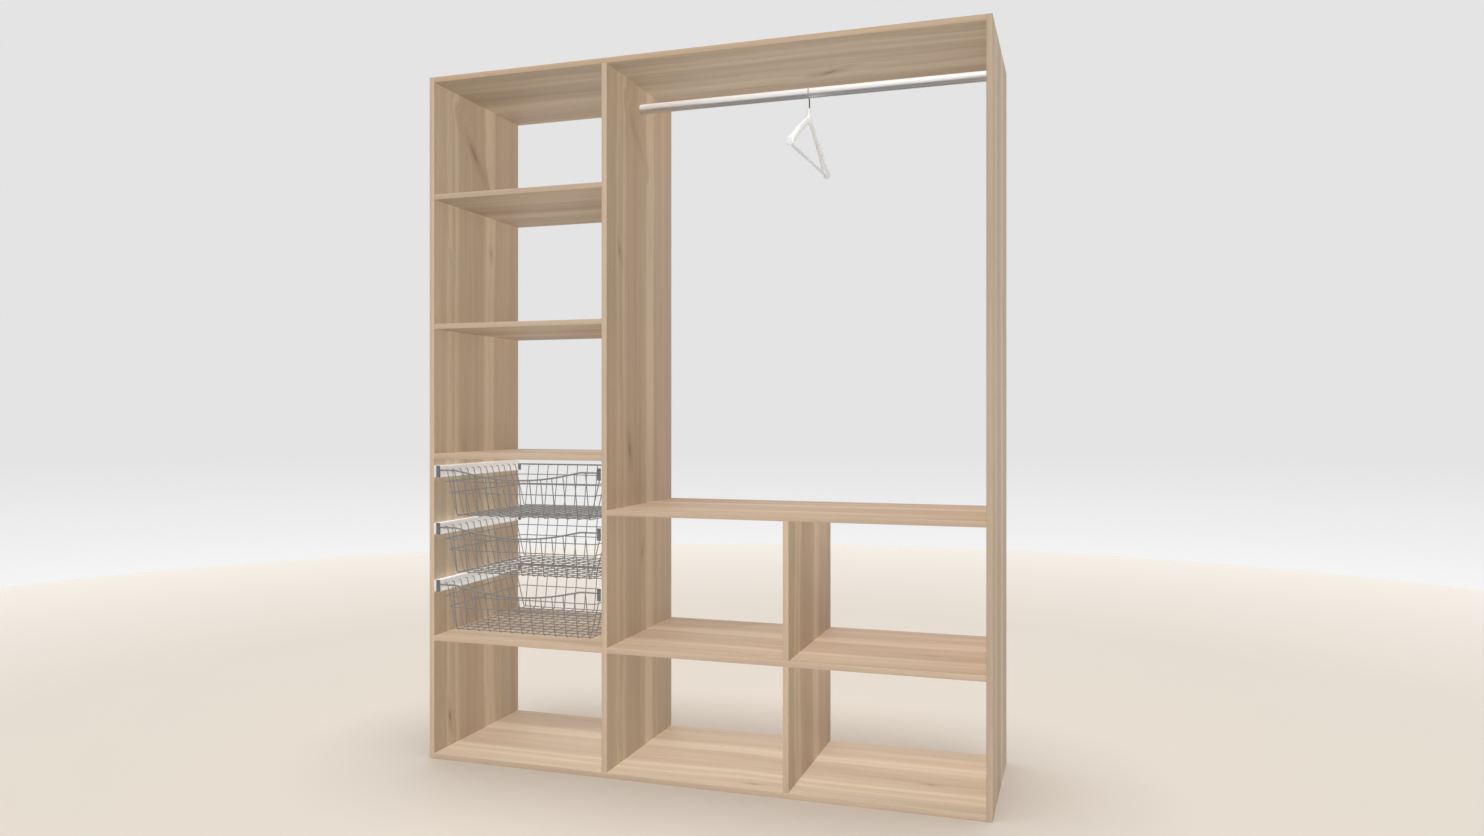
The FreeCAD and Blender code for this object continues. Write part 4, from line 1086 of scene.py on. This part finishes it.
class ClosetHanger(bpy.types.Operator):
    """Build the clothes hanger"""

    bl_idname = "closet.hanger"
    bl_label = "Hanger"

    def execute(self, context):
        look = context.scene.closet_hanger
        hook = self.hook(look)
        steel = moulded("hook_steel", look.steel, 0.18, 0.30, speckle=600, metal=0.6)
        # The hook is paler from just under the rail's lower side upwards
        under_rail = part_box("hanging_rail")[0].z
        rubbed(steel, look.bare, under_rail - look.wear[0], under_rail + look.wear[1])
        paint(hook, steel)
        hand_over(hook, "hook", "hook", "hanger_hook")
        body = self.shoulders(look)
        white = moulded("hanger_white", look.body, 0.22, 0.36, speckle=260, spread=0.02, relief=0.05)
        # Painted shade on the faces that look down
        dulled(white, look.under, body)
        paint(body, white)
        hand_over(body, "hanger", "hanger", "hanger_body")
        bar = rod("hanger_bar_round", *middle_line("hanger_bar", 1), look.bar_size / 2, sides=32)
        soften(bar, look.bar_edge, angle=60)
        smooth(bar)
        paint(bar, moulded("bar_white", look.bar, 0.3, 0.42, speckle=300, spread=0.03))
        hand_over(bar, "hanger", "hanger_bar", "hanger_bar")
        return {"FINISHED"}

    def hook(self, look):
        """The wire from its head in the neck, up the shank and a bend, over the rail."""
        low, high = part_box("hanger_hook")
        axis, _ = middle_line("hanging_rail", 0)
        axis.x = (low.x + high.x) / 2
        radius = high.z - axis.z - look.hook_wire / 2
        bend = look.hook_bend
        fall = math.sqrt((radius + bend) ** 2 - bend**2)
        lean = math.atan2(fall, bend)
        tip = math.asin(look.tip_drop / radius)
        parts = 4
        turn = (math.pi + lean + tip) / parts
        out = radius / math.cos(turn / 2)
        stops = [Vector((axis.x, axis.y, low.z)), axis + Vector((0, 0, bend * math.tan(lean / 2) - fall))]
        for index in range(parts):
            angle = math.pi + lean - (index + 0.5) * turn
            stops.append(axis + Vector((0, out * math.cos(angle), out * math.sin(angle))))
        stops.append(axis + Vector((0, radius * math.cos(tip), -radius * math.sin(tip))))
        bends = [bend] + [radius] * parts
        return bent_wire("hanger_hook_wire", stops, look.hook_wire, bends, sides=16, step=9)

    def shoulders(self, look):
        """Half of the body is drawn out from a block station by station, then mirrored and smoothed."""
        low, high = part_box("hanger_body")
        x = (low.x + high.x) / 2
        half = (high.y - low.y) / 2
        root = high.z - look.neck
        # Each station: share of the half span, drop, half width and half height
        stations = [
            (0.07, 0.000, 0.0070, 0.0118),
            (0.16, 0.0065, 0.0066, 0.0126),
            (0.32, 0.0255, 0.0070, 0.0138),
            (0.50, 0.0468, 0.0080, 0.0142),
            (0.66, 0.0665, 0.0094, 0.0144),
            (0.80, 0.0872, 0.0108, 0.0144),
            (0.92, 0.1010, 0.0124, 0.0144),
            (0.985, 0.1092, 0.0130, 0.0142),
            (0.998, 0.1108, 0.0126, 0.0138),
        ]
        # Each step up the neck: height and share of the width below
        neck_steps = [(0.012, 0.92), (0.012, 1.0), (0.0022, 0.96)]
        before = stations[0]
        share, _, wide, tall = before
        inner = -half * share
        body = block("hanger_shoulders", (x - wide, x + wide), (inner, 0), (root - tall, root + tall))
        edit(body)
        pick(body, "faces", lambda middle, face: face.normal.y < -0.9)
        for station in stations[1:]:
            draw_on((0, -half * (station[0] - before[0]), before[1] - station[1]))
            bpy.ops.transform.resize(value=(station[2] / before[2], 1, station[3] / before[3]))
            before = station
        pick(body, "faces", lambda middle, face: face.normal.z > 0.9 and middle.y > inner)
        for height, share in neck_steps:
            draw_on((0, 0, height))
            bpy.ops.transform.resize(value=(share, 1, 1))
        pick(body, "faces", lambda middle, face: abs(middle.y) < NEAR and abs(face.normal.y) > 0.9)
        bpy.ops.mesh.delete(type="FACE")
        deselect()
        finish(body, "MIRROR", use_axis=(False, True, False), use_clip=True, merge_threshold=NEAR)
        finish(body, "SUBSURF", levels=3, render_levels=3)
        smooth(body, 60)
        return body


class ClosetStage(bpy.types.Operator):
    """Build the floor, room light, lamps and camera"""

    bl_idname = "closet.stage"
    bl_label = "Stage"

    def execute(self, context):
        look = context.scene.closet_stage
        disc = self.floor(look)
        self.room(context, look)
        self.lamp("key_lamp", (0.27, -0.47, 0.84), look.key, disc, look)
        self.lamp("low_lamp", (0.40, -0.35, -0.85), look.low, disc, look)
        self.lamp("rear_lamp", (-0.68, 0.68, 0.27), look.back, disc, look)
        self.lamp("top_lamp", (0, 0, 1), look.top, disc, look)
        camera = bpy.data.objects.new("camera", bpy.data.cameras.new("camera"))
        context.scene.collection.objects.link(camera)
        camera.location = look.camera
        camera.rotation_euler = (math.pi / 2, 0, look.heading)
        camera.data.sensor_width = look.sensor
        camera.data.lens = look.lens
        context.scene.camera = camera
        context.scene.view_settings.view_transform = "Standard"
        return {"FINISHED"}

    def floor(self, look):
        """A wide pale disc that grows paler towards its edge."""
        radius, fade_start, fade_end = 5.6, 2.6, 5.5
        deselect()
        bpy.ops.mesh.primitive_circle_add(vertices=128, radius=radius, fill_type="NGON", location=(0, 0, 0))
        disc = settle("floor")
        material, tree, shader = start_material("floor_finish")
        place = object_place(tree)
        clouds = stretched_noise(place, (1.6, 1.6, 1.6), detail=3)
        plain = blend(map_range(clouds, 0.3, 0.7), shaded(look.floor, 0.98), look.floor)
        fade = map_range(size_of(place), fade_start, fade_end)
        sockets = {
            "Base Color": blend(fade, plain, look.far),
            "Roughness": map_range(clouds, 0.3, 0.7, 0.62, 0.72),
        }
        feed(shader, sockets)
        # Painted reflection: glossy rays see a dark glow in place of the floor
        mirrored = node("Emission", {"Color": (*look.mirrored, 1), "Strength": 1.0}, tree)
        glossy = node("LightPath", {}, tree).outputs["Is Glossy Ray"]
        both = node("MixShader", {0: glossy, 1: shader.outputs[0], 2: mirrored.outputs[0]})
        feed(tree.nodes["Material Output"], {"Surface": both.outputs[0]})
        disc.data.materials.append(material)
        return disc

    def room(self, context, look):
        """Even light all round, and a pale backdrop that whitens below the horizon."""
        world = bpy.data.worlds.new("room")
        context.scene.world = world
        world.use_nodes = True
        tree = world.node_tree
        tree.nodes.clear()
        way = node("TexCoord", {}, tree).outputs["Generated"]
        # The haze clears from 10 to 2 degrees below the horizon
        clear = map_range(axis_of(way, "Z"), -0.18, -0.035)
        shown = blend(clear, look.haze, look.wall)
        backdrop = node("Background", {"Color": shown, "Strength": 1.0})
        light = node("Background", {"Color": (1, 1, 1, 1), "Strength": look.sky}, tree)
        path = node("LightPath", {}, tree).outputs
        seen = calculate("MAXIMUM", path["Is Camera Ray"], path["Is Glossy Ray"])
        seen = calculate("MAXIMUM", seen, path["Is Transmission Ray"])
        both = node("MixShader", {0: seen, 1: light.outputs[0], 2: backdrop.outputs[0]})
        node("OutputWorld", {"Surface": both.outputs[0]})

    def lamp(self, name, way, strength, disc, look):
        """A very soft lamp that shines from one way: the top lamp only on the floor, the others off it."""
        over_floor = name == "top_lamp"
        lamp = bpy.data.objects.new(name, bpy.data.lights.new(name, "SUN"))
        bpy.context.scene.collection.objects.link(lamp)
        lamp.data.energy = strength
        lamp.data.angle = look.top_spread if over_floor else look.spread
        lamp.data.use_shadow = over_floor
        lamp.visible_glossy = name == "key_lamp"
        lamp.rotation_euler = (-Vector(way)).to_track_quat("-Z", "Y").to_euler()
        lit = bpy.data.collections.new(f"{name}_lit")
        lit.objects.link(disc)
        lit.collection_objects[0].light_linking.link_state = "INCLUDE" if over_floor else "EXCLUDE"
        lamp.light_linking.receiver_collection = lit


PIECES = [
    ("closet_boards", BoardSettings, ClosetBoards),
    ("closet_rail", RailSettings, ClosetRail),
    ("closet_slides", SlideSettings, ClosetSlides),
    ("closet_baskets", BasketSettings, ClosetBaskets),
    ("closet_hanger", HangerSettings, ClosetHanger),
    ("closet_stage", StageSettings, ClosetStage),
]


class ClosetPanel(bpy.types.Panel):
    """Lists the pieces and their settings in the sidebar"""

    bl_idname = "VIEW3D_PT_closet"
    bl_label = "Closet system"
    bl_space_type = "VIEW_3D"
    bl_region_type = "UI"
    bl_category = "Closet"

    def draw(self, context):
        for name, _, operator in PIECES:
            box = self.layout.box()
            box.operator(operator.bl_idname)
            settings = getattr(context.scene, name)
            for setting in settings.bl_rna.properties.keys():
                if setting not in ("rna_type", "name"):
                    box.prop(settings, setting)


def register():
    for name, settings, operator in PIECES:
        bpy.utils.register_class(settings)
        setattr(bpy.types.Scene, name, PointerProperty(type=settings))
        bpy.utils.register_class(operator)
    bpy.utils.register_class(ClosetPanel)


def unregister():
    bpy.utils.unregister_class(ClosetPanel)
    for name, settings, operator in reversed(PIECES):
        bpy.utils.unregister_class(operator)
        delattr(bpy.types.Scene, name)
        bpy.utils.unregister_class(settings)


def main():
    """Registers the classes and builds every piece."""
    register()
    bpy.ops.closet.boards()
    bpy.ops.closet.rail()
    bpy.ops.closet.slides()
    bpy.ops.closet.baskets()
    bpy.ops.closet.hanger()
    bpy.ops.closet.stage()


if __name__ == "__main__":
    main()
